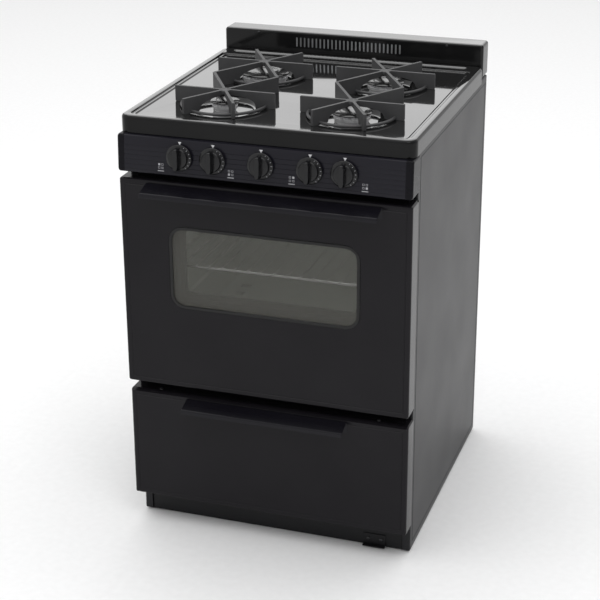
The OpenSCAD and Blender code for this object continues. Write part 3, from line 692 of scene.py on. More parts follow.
@dataclass
class Piece:
    """What a shape needs to become a visible piece."""

    name: str
    finish: Finish
    body: str
    slot: str
    replaces: tuple[str, ...] = ()
    bevel: float = 0.0
    wall: float = 0.0
    sharp_deg: float = 38.0

    def make(self, shape: Shape) -> bpy.types.Object:
        """Turn a shape into an object that rides on its body.

        Args:
            shape: The finished shape.

        Returns:
            The object.
        """
        mesh = bpy.data.meshes.new(self.name)
        mesh.from_pydata(shape.points, [], shape.faces)
        bm = bmesh.new()
        bm.from_mesh(mesh)
        bmesh.ops.remove_doubles(bm, verts=bm.verts, dist=MERGE)
        bmesh.ops.recalc_face_normals(bm, faces=bm.faces)
        bm.to_mesh(mesh)
        bm.free()
        mesh.polygons.foreach_set("use_smooth", [True] * len(mesh.polygons))
        mesh.set_sharp_from_angle(angle=math.radians(self.sharp_deg))
        obj = bpy.data.objects.new(self.name, mesh)
        bpy.context.scene.collection.objects.link(obj)
        obj.data.materials.append(self.finish.material())
        if self.wall:
            solid = obj.modifiers.new("wall", "SOLIDIFY")
            solid.thickness = abs(self.wall)
            solid.offset = -1.0 if self.wall > 0 else 1.0
            solid.use_even_offset = True
        if self.bevel:
            edge = obj.modifiers.new("edges", "BEVEL")
            edge.width = self.bevel
            edge.segments = 2
            edge.limit_method = "ANGLE"
            edge.angle_limit = math.radians(BEVEL_DEG)
        weights = obj.modifiers.new("normals", "WEIGHTED_NORMAL")
        weights.keep_sharp = True
        weights.weight = NORMAL_WEIGHT
        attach(obj, self.body)
        if self.replaces:
            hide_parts(*self.replaces)
        LOG.info("piece %s on %s", self.name, self.body)
        return obj


def dress(nodes: dict[str, Finish]) -> None:
    """Give CAD nodes that stay visible their finishes.

    Args:
        nodes: Finish by node name.
    """
    for name, finish in nodes.items():
        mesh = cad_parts[name].data
        mesh.materials.clear()
        mesh.materials.append(finish.material())
        LOG.info("dressed %s in %s", name, finish.name)


def pressed_rows(facing: Facing, plane: float, rect: tuple[float, float, float, float],
                 radius: float, steps: Sequence[Point2]) -> list[list[Point]]:
    """Rows of a pressed sheet, from its edge inwards.

    Args:
        facing: The side that the sheet faces.
        plane: The place of the sheet's face.
        rect: Left, right, lower and upper edge.
        radius: Corner radius at the edge.
        steps: Inset and depth of each row.

    Returns:
        The rows.
    """
    x0, x1, y0, y1 = rect
    rows = []
    for inset, depth in steps:
        r = max(radius - inset, 0.0012)
        outline = rounded_rect(x0 + inset, x1 - inset, y0 + inset, y1 - inset, r)
        rows.append([facing.point(u, v, depth, plane) for u, v in outline])
    return rows


def bead_steps(inset: float, half: float = 0.0015, core: float = 0.0008,
               deep: float = 0.0007) -> tuple[Point2, ...]:
    """Steps of a fine bead that runs round a pressed sheet.

    Args:
        inset: Distance of the bead's middle from the sheet's edge.
        half: Half the bead's width at the face.
        core: Half its width at the bottom.
        deep: Its depth.

    Returns:
        Inset and depth of each row.
    """
    return ((inset - half, 0.0), (inset - core, deep), (inset + core, deep), (inset + half, 0.0))


# ------------------------------------------------------------------- cooktop


@dataclass
class Cooktop:
    """The pressed top, its bead and the low backguard with vent slots."""

    edge_r: float = 0.022
    rim_z: float = 0.915
    apron_h: float = 0.035
    rim_in: float = 0.0155
    flat_drop: float = 0.006
    ledge: float = 0.042
    dish_r: float = 0.092
    dish_floor_r: float = 0.058
    bead_half: float = 0.273
    bead_r: float = 0.0085
    slot_pitch: float = 0.0093
    slot_w: float = 0.004
    slot_half: float = 0.011
    slot_count: int = 27
    slot_shift: float = -0.008

    def build(self, centres: Sequence[Point2]) -> None:
        """Make the cooktop and the backguard.

        Args:
            centres: The burners' centres.
        """
        self.build_top(centres)
        self.build_bead()
        self.build_backguard()

    def build_top(self, centres: Sequence[Point2]) -> None:
        """Press the top: apron, rounded rim, sloping inner wall, flat and dishes.

        Args:
            centres: The burners' centres.
        """
        lo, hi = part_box("cooktop")
        shape = Shape()
        rows = []
        for inset, drop in ((0, self.apron_h), (0, 0.007), (0.0006, 0.0042), (0.0022, 0.0018),
                            (0.0048, 0.0004), (0.0080, 0.0), (0.0135, 0.0)):
            outline = rounded_rect(lo.x + inset, hi.x - inset, lo.y + inset, hi.y - inset,
                                   max(self.edge_r - inset, 0.002))
            rows.append([(x, y, hi.z - drop) for x, y in outline])
        for inset, drop in ((self.rim_in, 0.0009), (0.0165, 0.0030), (0.0172, 0.0037), (0.0178, 0.0036),
                            (0.0212, 0.0036), (0.0218, 0.0040), (0.0250, 0.0056), (0.0262, self.flat_drop)):
            rear = hi.y - self.ledge - (inset - self.rim_in) * 0.45
            outline = rounded_rect(lo.x + inset, hi.x - inset, lo.y + inset, rear,
                                   max(0.020 - inset * 0.2, 0.004))
            rows.append([(x, y, hi.z - drop) for x, y in outline])
        rings = shape.skin(rows)
        level = hi.z - self.flat_drop
        wide, floor_r = self.dish_r, self.dish_floor_r
        dish = ((wide + 0.0010, 0.0), (wide - 0.001, 0.0008), (wide - 0.006, 0.0022),
                (floor_r + 0.010, 0.0085), (floor_r + 0.003, 0.0106), (floor_r - 0.001, 0.0110),
                (0.018, 0.0110), (0.0155, 0.0118), (0.0150, 0.0150))
        holes = []
        for cx, cy in centres:
            circles = [[(x, y, level - drop) for x, y in circle(cx, cy, r)] for r, drop in dish]
            holes.append(shape.skin(circles)[0])
        shape.fill(rings[-1], holes)
        Piece("cooktop_top", TOP_ENAMEL, "cabinet", "cooktop_enamel", ("cooktop",), wall=SHEET).make(shape)

    def build_bead(self) -> None:
        """Add the long bead on the ledge in front of the backguard."""
        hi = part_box("cooktop")[1]
        shape = Shape()
        middle = hi.y - self.ledge / 2
        half, r = self.bead_half, self.bead_r
        rows = []
        for grow, lift in ((1.0, -0.0004), (0.86, 0.0011), (0.62, 0.0021), (0.35, 0.0025)):
            outline = rounded_rect(-half + r * (1 - grow), half - r * (1 - grow), middle - r * grow,
                                   middle + r * grow, r * grow * 0.99, 6)
            rows.append([(x, y, hi.z + lift) for x, y in outline])
        shape.skin(rows, True, True)
        Piece("cooktop_bead", TOP_ENAMEL, "cabinet", "cooktop_enamel").make(shape)

    def build_backguard(self) -> None:
        """Fold the backguard, with its vent slots cut through the face."""
        lo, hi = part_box("backguard")
        shape = Shape()
        rect = (lo.x, hi.x, lo.z, hi.z)
        depth = hi.y - lo.y
        rows = pressed_rows(Facing.FRONT, lo.y, rect, 0.007,
                            ((0.0015, depth), (0, depth - 0.0015), (0, 0.006), (0.0006, 0.0030),
                             (0.0022, 0.0010), (0.0048, 0.0)))
        rings = shape.skin(rows, cap_start=True)
        middle = (hi.z + self.rim_z) / 2
        slots = []
        for i in range(self.slot_count):
            x = (i - (self.slot_count - 1) / 2) * self.slot_pitch + self.slot_shift
            outline = rounded_rect(x - self.slot_w / 2, x + self.slot_w / 2, middle - self.slot_half,
                                   middle + self.slot_half, self.slot_w * 0.49, 3)
            loop = [[(u, lo.y + d, v) for u, v in outline] for d in (0.0, 0.0016)]
            slots.append(shape.skin(loop)[0])
        shape.fill(rings[-1], slots)
        Piece("backguard_shell", GUARD_ENAMEL, "cabinet", "cooktop_enamel", ("backguard",)).make(shape)
        half = (self.slot_count / 2 + 1) * self.slot_pitch
        baffle = Shape()
        baffle.box((self.slot_shift - half, lo.y + 0.0018, middle - 0.015),
                   (self.slot_shift + half, lo.y + 0.0030, middle + 0.015))
        Piece("backguard_baffle", GALVANISED, "cabinet", "galvanised", bevel=0.0004).make(baffle)


# ------------------------------------------------------------------- burners


@dataclass
class Burner:
    """One sealed burner: its ported head and its enamelled cap."""

    where: str
    throat: float = 0.016
    skirt: float = 0.004
    ports_per_metre: float = 560.0
    fewest_ports: int = 20

    def centre(self) -> Point2:
        """The burner's centre."""
        lo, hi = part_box("burner_cap_" + self.where)
        return ((lo.x + hi.x) / 2, (lo.y + hi.y) / 2)

    def build(self) -> None:
        """Make the head and the cap."""
        lo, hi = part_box("burner_cap_" + self.where)
        radius = (hi.x - lo.x) / 2
        x, y = self.centre()
        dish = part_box("burner_heads")[0].z + self.throat
        self.build_head((x, y, dish), radius, lo.z + self.skirt - dish)
        self.build_cap((x, y, lo.z + self.skirt), radius)

    def build_head(self, foot: Point, radius: float, height: float) -> None:
        """Turn the aluminium head, with a scalloped band of ports under the cap.

        Args:
            foot: Middle of the head's foot.
            radius: The cap's radius.
            height: From the foot to the cap.
        """
        shape = Shape()
        body = radius - 0.004
        teeth = max(self.fewest_ports, int(radius * self.ports_per_metre))

        def scallop(ring: int, angle: float) -> float:
            """Notches between the ports."""
            return -0.0022 * (0.5 - 0.5 * math.cos(teeth * angle)) ** 0.6 if ring in (8, 9, 10) else 0.0

        profile = ((radius - 0.0078, 0.0002), (radius - 0.0078, 0.0050), (body - 0.0030, 0.0052),
                   (body - 0.0008, 0.0056), (body, 0.0066), (body, height - 0.0062),
                   (body - 0.0004, height - 0.0058), (body - 0.0004, height - 0.0052),
                   (body, height - 0.0048), (body, height - 0.0014), (body - 0.0006, height - 0.0004),
                   (radius - 0.0095, height - 0.0004), (radius - 0.0098, height - 0.006),
                   (0.0125, height - 0.008), (0.0105, 0.002), (0.0105, -0.0155), (0.0128, -0.0155),
                   (0.0128, 0.0001))
        shape.revolve(profile, foot, 8 * teeth, scallop)
        Piece("burner_head_" + self.where, CAST_ALUMINIUM, "cabinet", "aluminium").make(shape)

    def build_cap(self, seat: Point, radius: float) -> None:
        """Turn the enamelled cap, with a rolled edge and a shallow ring in its top.

        Args:
            seat: Middle of the head's top.
            radius: The cap's radius.
        """
        shape = Shape()
        r = radius
        profile = ((r - 0.0112, -0.004), (r - 0.0112, 0.0), (r - 0.0012, 0.0), (r - 0.0003, 0.0006),
                   (r, 0.0016), (r - 0.0003, 0.0026), (r - 0.0014, 0.0034), (r - 0.0040, 0.0042),
                   (r * 0.66, 0.0049), (r * 0.62, 0.0049), (r * 0.58, 0.0044), (r * 0.54, 0.0044),
                   (r * 0.50, 0.0049), (r * 0.2, 0.0050), (0.0008, 0.0050))
        shape.revolve(profile, seat, 72, cap=True)
        Piece("cap_" + self.where + "_dome", CAP_ENAMEL, "cap_" + self.where, "cap_enamel",
              ("burner_cap_" + self.where,), sharp_deg=50).make(shape)


# ------------------------------------------------------------------- grates


@dataclass
class Grate:
    """A double grate: two six-bladed stars joined at two corners, on ring feet."""

    side: str
    body: str
    blade_t: float = 0.0060
    root_h: float = 0.0105
    hub_r: float = 0.0130
    ring_r: float = 0.0885
    bar_r: float = 0.0032

    def build(self, front: Point2, rear: Point2) -> None:
        """Make the grate.

        Args:
            front: Centre over the front burner.
            rear: Centre over the rear burner.
        """
        lo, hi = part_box("grate_" + self.side)
        reach = (hi.x - lo.x) / 2
        shape = Shape()
        pitch = rear[1] - front[1]
        meet = pitch / 2 / math.cos(math.radians(30))
        rings = Shape()
        for (x, y), outward in ((front, -1), (rear, 1)):
            for a in range(0, 360, 60):
                inner = outward * math.sin(math.radians(a)) < -0.1
                self.blade(shape, (x, y), a, meet - 0.0012 if inner else reach, lo.z, hi.z)
            self.hub(shape, (x, y), hi.z)
            self.ring(rings, (x, y), lo.z)
        for sign in (-1, 1):
            x = front[0] + sign * pitch / 2 * math.tan(math.radians(30))
            shape.revolve(((0.0032, 0.0004), (0.0032, hi.z - lo.z - 0.0003)),
                          (x, (front[1] + rear[1]) / 2, lo.z), 12, cap=True)
        Piece("grate_" + self.side + "_blades", GRATE_IRON, self.body, "cast_iron", ("grate_" + self.side,),
              bevel=0.0012).make(shape)
        Piece("grate_" + self.side + "_rings", GRATE_IRON, self.body, "cast_iron").make(rings)

    def blade(self, shape: Shape, centre: Point2, angle: float, length: float, z0: float, z1: float) -> None:
        """Add one upright blade with an arch over the burner.

        Args:
            shape: The shape to add to.
            centre: The burner's centre.
            angle: Direction in degrees.
            length: From the centre to the blade's end.
            z0: The grate's foot.
            z1: The grate's top.
        """
        h = z1 - z0
        end = 0.067 if length < 0.12 else 0.075
        outline = [(0.007, h - self.root_h), (0.007, h), (length - 0.0008, h), (length, h - 0.0012),
                   (length, 0.0016), (length - 0.0010, 0.0), (end + 0.004, 0.0), (end, 0.0022)]
        arch = h - self.root_h
        for share, lift in ((0.99, 0.22), (0.965, 0.42), (0.90, 0.60), (0.80, 0.74), (0.66, 0.85),
                            (0.48, 0.93), (0.28, 0.98), (0.10, 1.0)):
            outline.append((end * share, arch * lift))
        turn = Matrix.Translation((centre[0], centre[1], z0)) @ Matrix.Rotation(math.radians(angle), 4, "Z")
        part = Shape()
        half = self.blade_t / 2
        part.skin([[(u, t, w) for u, w in outline] for t in (-half, half)], True, True)
        shape.join(part.move(turn))

    def hub(self, shape: Shape, centre: Point2, top: float) -> None:
        """Add the small round plate that joins the blades.

        Args:
            shape: The shape to add to.
            centre: The burner's centre.
            top: The grate's top.
        """
        profile = ((0.002, -0.0086), (self.hub_r - 0.0015, -0.0086), (self.hub_r, -0.0070),
                   (self.hub_r, -0.0014), (self.hub_r - 0.0010, -0.0003), (0.002, -0.0003))
        shape.revolve(profile, (centre[0], centre[1], top), 24, cap=True)

    def ring(self, shape: Shape, centre: Point2, low: float) -> None:
        """Add the round bar that the blades stand on.

        Args:
            shape: The shape to add to.
            centre: The burner's centre.
            low: The grate's foot.
        """
        section = [(self.ring_r + self.bar_r * math.cos(math.tau * k / 12),
                    0.0042 + self.bar_r * math.sin(math.tau * k / 12)) for k in range(12)]
        rows = []
        for i in range(72):
            a = math.tau * i / 72
            x, y = math.cos(a), math.sin(a)
            rows.append([(centre[0] + r * x, centre[1] + r * y, low + z) for r, z in section])
        rings = shape.skin(rows)
        shape.bridge(rings[-1], rings[0])


# ------------------------------------------------------------- control panel


@dataclass
class ControlPanel:
    """The ribbed panel under the apron, its end caps and its printed marks."""

    lean: float = 0.004
    wall: float = 0.0015
    rib_pitch: float = 0.0097
    rib_count: int = 6
    rib_low: float = 0.0085
    knob_x: tuple[float, ...] = (-0.170, -0.100, 0.0, 0.100, 0.170)
    diagrams: tuple[tuple[float, int], ...] = ((-0.211, 2), (-0.063, 0), (0.063, 3), (0.211, 1))
    diagram_z: float = 0.019
    diagram_ring: float = 0.0034
    diagram_half: float = 0.0021

    def face_y(self, z: float) -> float:
        """Where the panel's face is at a height."""
        lo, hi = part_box("control_panel")
        return lo.y + self.lean * (z - lo.z) / (hi.z - lo.z)

    def profile(self) -> list[Point2]:
        """Y and Z along the panel, from its lower back edge over the face to its upper back edge.

        Returns:
            The points.
        """
        lo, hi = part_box("control_panel")
        points = [(hi.y, lo.z), (lo.y + 0.006, lo.z), (lo.y + 0.0025, lo.z + 0.0006),
                  (lo.y + 0.0006, lo.z + 0.0025)]
        for i in range(self.rib_count):
            z = lo.z + self.rib_low + i * self.rib_pitch
            for dz, inward in ((-0.0007, 0.0), (-0.00035, 0.0006), (0.00035, 0.0006), (0.0007, 0.0)):
                points.append((self.face_y(z + dz) + inward, z + dz))
        top = self.face_y(hi.z)
        points += [(top + 0.0004, hi.z - 0.004), (top + 0.0018, hi.z - 0.0012), (top + 0.0050, hi.z),
                   (hi.y, hi.z)]
        return points

    def build(self) -> None:
        """Make the panel, its caps and its marks."""
        lo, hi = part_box("control_panel")
        shape = Shape()
        section = self.profile()
        shape.skin([[(x, y, z) for y, z in section] for x in (lo.x, lo.x * 0.5, 0.0, hi.x * 0.5, hi.x)],
                   closed=False)
        Piece("panel_sheet", PANEL_PAINT, "cabinet", "panel_paint", ("control_panel",), wall=self.wall,
              sharp_deg=25).make(shape)
        self.build_caps()
        self.build_marks()

    def build_caps(self) -> None:
        """Mould the rounded caps at the panel's two ends."""
        lo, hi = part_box("panel_end_caps")
        shape = Shape()
        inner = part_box("control_panel")[1].x + 0.0002
        outer = hi.x
        for sign in (-1, 1):
            rows = []
            for x, shrink in ((inner, 0.0), (outer - 0.0050, 0.0), (outer - 0.0022, 0.0008),
                              (outer - 0.0006, 0.0024), (outer, 0.0050)):
                row = []
                base = rounded_rect(lo.y + shrink, hi.y, lo.z + shrink, hi.z - shrink, 0.0048, 5)
                for y, z in base:
                    lean = self.lean * (z - lo.z) / (hi.z - lo.z) * (hi.y - y) / (hi.y - lo.y)
                    row.append((sign * x, y + lean, z))
                rows.append(row)
            shape.skin(rows, True, True)
        Piece("panel_caps", CAP_PLASTIC, "cabinet", "cap_plastic", ("panel_end_caps",)).make(shape)

    def build_marks(self) -> None:
        """Print a pointer over each knob and a burner diagram beside the outer four."""
        lo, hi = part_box("control_panel")
        pointers, diagrams = Shape(), Shape()
        for x in self.knob_x:
            z = hi.z - 0.0085
            self.stamp(pointers, [(x - 0.0035, z + 0.0030), (x + 0.0035, z + 0.0030), (x, z - 0.0032)])
        z = lo.z + self.diagram_z
        ring, half = self.diagram_ring, self.diagram_half
        for x, filled in self.diagrams:
            for k, (dx, dz) in enumerate(((-ring, -ring), (ring, -ring), (-ring, ring), (ring, ring))):
                if k == filled:
                    self.stamp(diagrams, corners(x + dx - half, x + dx + half, z + dz - half, z + dz + half))
                else:
                    self.frame_mark(diagrams, x + dx, z + dz, 0.0020, 0.0005)
            self.stamp(diagrams, corners(x - 0.0066, x + 0.0066, z - 0.0105, z - 0.0090))
        Piece("panel_pointers", WHITE_PRINT, "cabinet", "panel_paint").make(pointers)
        Piece("panel_diagrams", GREY_PRINT, "cabinet", "panel_paint").make(diagrams)

    def stamp(self, shape: Shape, outline: Sequence[Point2]) -> None:
        """Add one filled mark, a hair thick, on the panel's face."""
        rows = [[(x, self.face_y(z) + off, z) for x, z in outline] for off in (0.0003, -0.0002)]
        shape.skin(rows, True, True)

    def frame_mark(self, shape: Shape, x: float, z: float, half: float, line: float) -> None:
        """Add one hollow square mark.

        Args:
            shape: The shape to add to.
            x: The mark's centre.
            z: Its centre's height.
            half: Half its width.
            line: Width of its lines.
        """
        for x0, x1, z0, z1 in ((-half, half, -half, -half + line), (-half, half, half - line, half),
                               (-half, -half + line, -half + line, half - line),
                               (half - line, half, -half + line, half - line)):
            self.stamp(shape, corners(x + x0, x + x1, z + z0, z + z1))


@dataclass
class Knob:
    """A knob: a skirt with tick marks, a dished collar and a tall grip bar."""

    name: str
    x: float
    tilt_deg: float = 2.974
    radius: float = 0.0270
    height: float = 0.0240
    gap: float = 0.0040
    lift: float = 0.002
    grip_half: float = 0.0066
    tick_count: int = 7
    tick_first_deg: float = 62.0
    tick_step_deg: float = 19.0

    def place(self, panel: ControlPanel) -> Matrix:
        """The knob's frame: its origin on the panel's face and +Z out of it.

        Args:
            panel: The panel that it stands on.

        Returns:
            The frame.
        """
        lo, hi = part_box("control_panel")
        z = (lo.z + hi.z) / 2 + self.lift
        turn = Matrix.Rotation(math.radians(90 - self.tilt_deg), 4, "X")
        return Matrix.Translation((self.x, panel.face_y(z), z)) @ turn

    def build(self, panel: ControlPanel) -> None:
        """Make the knob.

        Args:
            panel: The panel that it stands on.
        """
        place = self.place(panel)
        body = "knob_" + self.name + "_body"
        shape = Shape()
        r, g, h = self.radius, self.gap, self.gap + self.height
        profile = ((0.0031, g + 0.0150), (0.0031, g + 0.0004), (0.0060, g), (r - 0.0010, g), (r, g + 0.0008),
                   (r, g + 0.0024), (r - 0.0012, g + 0.0038), (r - 0.0052, g + 0.0050),
                   (r - 0.0062, g + 0.0056), (r - 0.0068, g + 0.0085), (r - 0.0080, g + 0.0100),
                   (r - 0.0130, g + 0.0106), (0.0020, g + 0.0108))
        shape.revolve(profile, (0, 0, 0), 64, cap=True)
        Piece("knob_" + self.name + "_skirt", KNOB_PLASTIC, body, "knob_plastic",
              ("knob_" + self.name,)).make(shape.move(place))
        self.build_grip(place, body, g, h)
        self.build_ticks(place, body, g)

    def build_grip(self, place: Matrix, body: str, g: float, h: float) -> None:
        """Mould the grip bar, waisted along its sides.

        Args:
            place: The knob's frame.
            body: The body that it rides on.
            g: Height of the skirt's underside.
            h: Height of the grip's top.
        """
        shape = Shape()
        length = self.radius - 0.0036
        rows = []
        for z, grow in ((g + 0.0040, 1.00), (g + 0.0110, 0.98), (h - 0.0050, 0.93), (h - 0.0020, 0.89),
                        (h - 0.0006, 0.82), (h, 0.72)):
            row = []
            for i in range(40):
                a = math.tau * i / 40
                c, s = math.cos(a), math.sin(a)
                waist = 1.0 - 0.16 * (1 - abs(s)) ** 2
                u = math.copysign(abs(c) ** 0.55, c) * self.grip_half * grow * waist
                v = math.copysign(abs(s) ** 0.80, s) * length * (1.0 - (1.0 - grow) * 0.55)
                row.append((u, v, z))
            rows.append(row)
        shape.skin(rows, True, True)
        Piece("knob_" + self.name + "_grip", KNOB_PLASTIC, body, "knob_plastic",
              sharp_deg=50).make(shape.move(place))

    def build_ticks(self, place: Matrix, body: str, g: float) -> None:
        """Print the scale on the skirt's upper right.

        Args:
            place: The knob's frame.
            body: The body that they ride on.
            g: Height of the skirt's underside.
        """
        shape = Shape()
        for i in range(self.tick_count):
            angle = math.radians(self.tick_first_deg - i * self.tick_step_deg)
            tick = Shape()
            tick.box((self.radius - 0.0046, -0.00035, g + 0.0037),
                     (self.radius - 0.0016, 0.00035, g + 0.0046))
            shape.join(tick.move(Matrix.Rotation(angle, 4, "Z")))
        Piece("knob_" + self.name + "_ticks", GREY_PRINT, body, "knob_plastic").make(shape.move(place))


# ------------------------------------------------------------- door and drawer


@dataclass
class LedgeHandle:
    """A ledge handle bent from sheet: flange, sloping plate and lip."""

    name: str
    node: str
    body: str
    wall: float = 0.002
    drop: float = 0.010
    lip: float = 0.009

    def build(self) -> None:
        """Make the handle."""
        lo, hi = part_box(self.node)
        face, top = hi.y, hi.z
        run = face - lo.y - self.wall
        centre_line = [(0.0, -0.0235), (0.0, -0.0040), (-0.0012, -0.0014), (-0.0040, -0.0010),
                       (-run + 0.0030, -self.drop + 0.0006), (-run + 0.0010, -self.drop - 0.0006),
                       (-run + 0.0002, -self.drop - 0.0030), (-run + 0.0002, -self.drop - self.lip + 0.0006)]
        shape = Shape()
        rows = []
        for x in (lo.x, lo.x + 0.001, lo.x * 0.5, 0.0, hi.x * 0.5, hi.x - 0.001, hi.x):
            rows.append([(x, face - 0.0001 + y, top + z) for y, z in centre_line])
        shape.skin(rows, closed=False)
        Piece(self.name, HANDLE_PAINT, self.body, "handle_paint", (self.node,), wall=-self.wall, bevel=0.0005,
              sharp_deg=60).make(shape)


@dataclass
class Door:
    """The oven door: pressed skin with its window, its bezel and its handle."""

    edge_r: float = 0.005
    bead_in: float = 0.012
    window_r: float = 0.024
    bezel: float = 0.007
    bracket_half: float = 0.009
    notch_half: float = 0.010
    notch_gap: float = 0.005
    notch_high: float = 0.003

    def build(self) -> None:
        """Make the skin, the bezel and the handle."""
        lo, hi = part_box("door_panel")
        shape = Shape()
        rect = (lo.x, hi.x, lo.z, hi.z)
        edge = ((0, hi.y - lo.y), (0, 0.0050), (0.0005, 0.0026), (0.0018, 0.0009), (0.0042, 0.0))
        rows = pressed_rows(Facing.FRONT, lo.y, rect, self.edge_r, (*edge, *bead_steps(self.bead_in)))
        w0, w1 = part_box("window_bezel")
        win = (w0.x, w1.x, w0.z, w1.z)
        r = self.window_r + self.bezel
        rows += pressed_rows(Facing.FRONT, lo.y, win, r + 0.003,
                             ((-0.0030, 0.0), (-0.0014, 0.0003), (-0.0004, 0.0012), (-0.0002, 0.0030)))
        shape.skin(rows)
        near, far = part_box("hinge_brackets")
        for x in (self.bracket_half - far.x, far.x - self.bracket_half):
            shape.cut_out((x - self.notch_half, near.y - self.notch_gap, lo.z - 0.001),
                          (x + self.notch_half, hi.y + 0.001, lo.z + self.notch_high))
        Piece("door_skin", BLACK_ENAMEL, "door", "gloss_black", ("door_panel",), wall=SHEET,
              sharp_deg=30).make(shape)
        self.build_bezel(win, r, w0.y)
        LedgeHandle("door_handle_ledge", "door_handle", "door").build()

    def build_bezel(self, win: tuple[float, float, float, float], r: float, plane: float) -> None:
        """Roll the dark bezel between the skin and the glass.

        Args:
            win: Left, right, lower and upper edge.
            r: Corner radius.
            plane: Where the bezel's face is.
        """
        t = self.bezel
        shape = Shape()
        rows = pressed_rows(Facing.FRONT, plane, win, r,
                            ((0.0003, 0.0016), (0.0004, 0.0004), (0.0012, 0.0), (t - 0.0016, 0.0),
                             (t - 0.0006, 0.0005), (t - 0.0002, 0.0018)))
        rings = shape.skin(rows)
        shape.bridge(rings[-1], rings[0])
        Piece("window_bezel_rim", BEZEL_PRINT, "door", "bezel", ("window_bezel",)).make(shape)


@dataclass
class Drawer:
    """The drawer: pressed front with a bevelled top edge, and its handle."""

    edge_r: float = 0.004
    bead_in: float = 0.012
    bevel_high: float = 0.005
    bevel_deep: float = 0.006
    front_deep: float = 0.0056

    def build(self) -> None:
        """Make the front and the handle."""
        lo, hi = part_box("drawer_front")
        shape = Shape()
        rect = (lo.x, hi.x, lo.z, hi.z)
        edge = ((0, hi.y - lo.y), (0, 0.0055), (0.0005, 0.0030), (0.0018, 0.0010), (0.0044, 0.0))
        rows = pressed_rows(Facing.FRONT, lo.y, rect, self.edge_r, (*edge, *bead_steps(self.bead_in)))
        shape.skin([[self.lean_back(p, lo.y, hi.z) for p in row] for row in rows], cap_end=True)
        Piece("drawer_skin", BLACK_ENAMEL, "drawer", "gloss_black", ("drawer_front",), wall=SHEET,
              sharp_deg=30).make(shape)
        LedgeHandle("drawer_handle_ledge", "drawer_handle", "drawer").build()

    def lean_back(self, point: Point, face: float, top: float) -> Point:
        """Lean the front's points back near its top edge.

        Args:
            point: A point of the front.
            face: Where the front's face is.
            top: Where its top edge is.

        Returns:
            The point, moved if it lies in the bevel.
        """
        x, y, z = point
        if y >= face + self.front_deep:
            return point
        return (x, y + max(0.0, z - (top - self.bevel_high)) / self.bevel_high * self.bevel_deep, z)


# ------------------------------------------------------------------- cabinet


@dataclass
class Cabinet:
    """The side panels and the plain parts of the cabinet."""

    edge_r: float = 0.004
    bead_in: float = 0.017

    def build(self) -> None:
        """Make both side panels and dress the CAD nodes that stay."""
        for side, facing in (("right", Facing.RIGHT), ("left", Facing.LEFT)):
            self.build_side(side, facing)
        dress({
            "back_panel": GALVANISED, "base_frame": FRAME_PAINT, "kick_panel": FRAME_PAINT,
            "kick_bracket": FRAME_PAINT, "leveling_feet": GALVANISED, "front_frame": FRAME_PAINT,
            "gas_manifold": BLACK_PIPE, "burner_valves": BRASS, "oven_thermostat": BRASS,
            "pressure_regulator": CAST_ALUMINIUM, "gas_inlet_nipple": GALVANISED,
            "burner_tubes": CAST_ALUMINIUM, "igniter_electrodes": ELECTRODE_CERAMIC,
            "spark_module": MODULE_PLASTIC, "oven_liner": OVEN_ENAMEL, "oven_insulation": WOOL,
            "oven_floor": OVEN_ENAMEL, "oven_burner": GALVANISED, "flue_duct": GALVANISED,
            "hinge_brackets": GALVANISED, "drawer_rails": GALVANISED, "door_inner_panel": TUNNEL_ENAMEL,
            "door_glass_outer": OUTER_GLASS, "door_glass_inner": INNER_GLASS, "door_hinge_arms": GALVANISED,
            "door_gasket": SEAL, "drawer_tray": GALVANISED, "broiler_pan": OVEN_ENAMEL,
            "oven_rack": BRIGHT_STEEL,
        })
        dress({"stem_" + name: BRIGHT_STEEL for name in KNOB_NAMES})

    def build_side(self, side: str, facing: Facing) -> None:
        """Fold one side panel: rounded edges, flanges and a bead inside its border.

        Args:
            side: "left" or "right".
            facing: The side that the panel faces.
        """
        lo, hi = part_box("side_panel_right")
        depth = hi.x - lo.x
        edge = ((0.0015, depth), (0.0, depth - 0.001), (0.0, 0.0040), (0.0004, 0.0020), (0.0014, 0.0007),
                (0.0036, 0.0))
        shape = Shape()
        rows = pressed_rows(facing, hi.x, (lo.y, hi.y, lo.z, hi.z), self.edge_r,
                            (*edge, *bead_steps(self.bead_in, 0.0016, 0.0006, 0.0009)))
        shape.skin(rows, cap_end=True)
        # The side paint holds painted light: its colour is a little lighter than the front's black to stand
        # for the light on the sides.
        Piece("side_" + side, SIDE_PAINT_PAINTED_LIGHT, "cabinet", "black_sheet", ("side_panel_" + side,), wall=SHEET,
              sharp_deg=30).make(shape)


@dataclass
class RackHooks:
    """Wire ends of the oven rack, bent down over its front bar."""

    count: int = 15
    margin: float = 0.011
    bar_r: float = 0.003
    wire_r: float = 0.0018

    def build(self) -> None:
        """Bend one short wire end over the bar for each long wire."""
        lo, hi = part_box("oven_rack")
        z = (lo.z + hi.z) / 2
        y = lo.y + self.bar_r
        pitch = (hi.x - lo.x - 2 * self.margin) / (self.count + 1)
        shape = Shape()
        reach = self.bar_r + self.wire_r * 0.8
        for i in range(1, self.count + 1):
            x = lo.x + self.margin + i * pitch
            rows = []
            for step in range(9):
                a = math.radians(90 - step * 20)
                path = Vector((x, y - reach * math.cos(a), z + reach * math.sin(a)))
                out = Vector((0, -math.cos(a), math.sin(a)))
                rows.append([tuple(path + self.wire_r * (math.cos(t) * out + math.sin(t) * Vector((1, 0, 0))))
                             for t in (math.tau * k / 10 for k in range(10))])
            shape.skin(rows, True, True)
        Piece("rack_wire_ends", BRIGHT_STEEL, "rack", "bright_steel").make(shape)


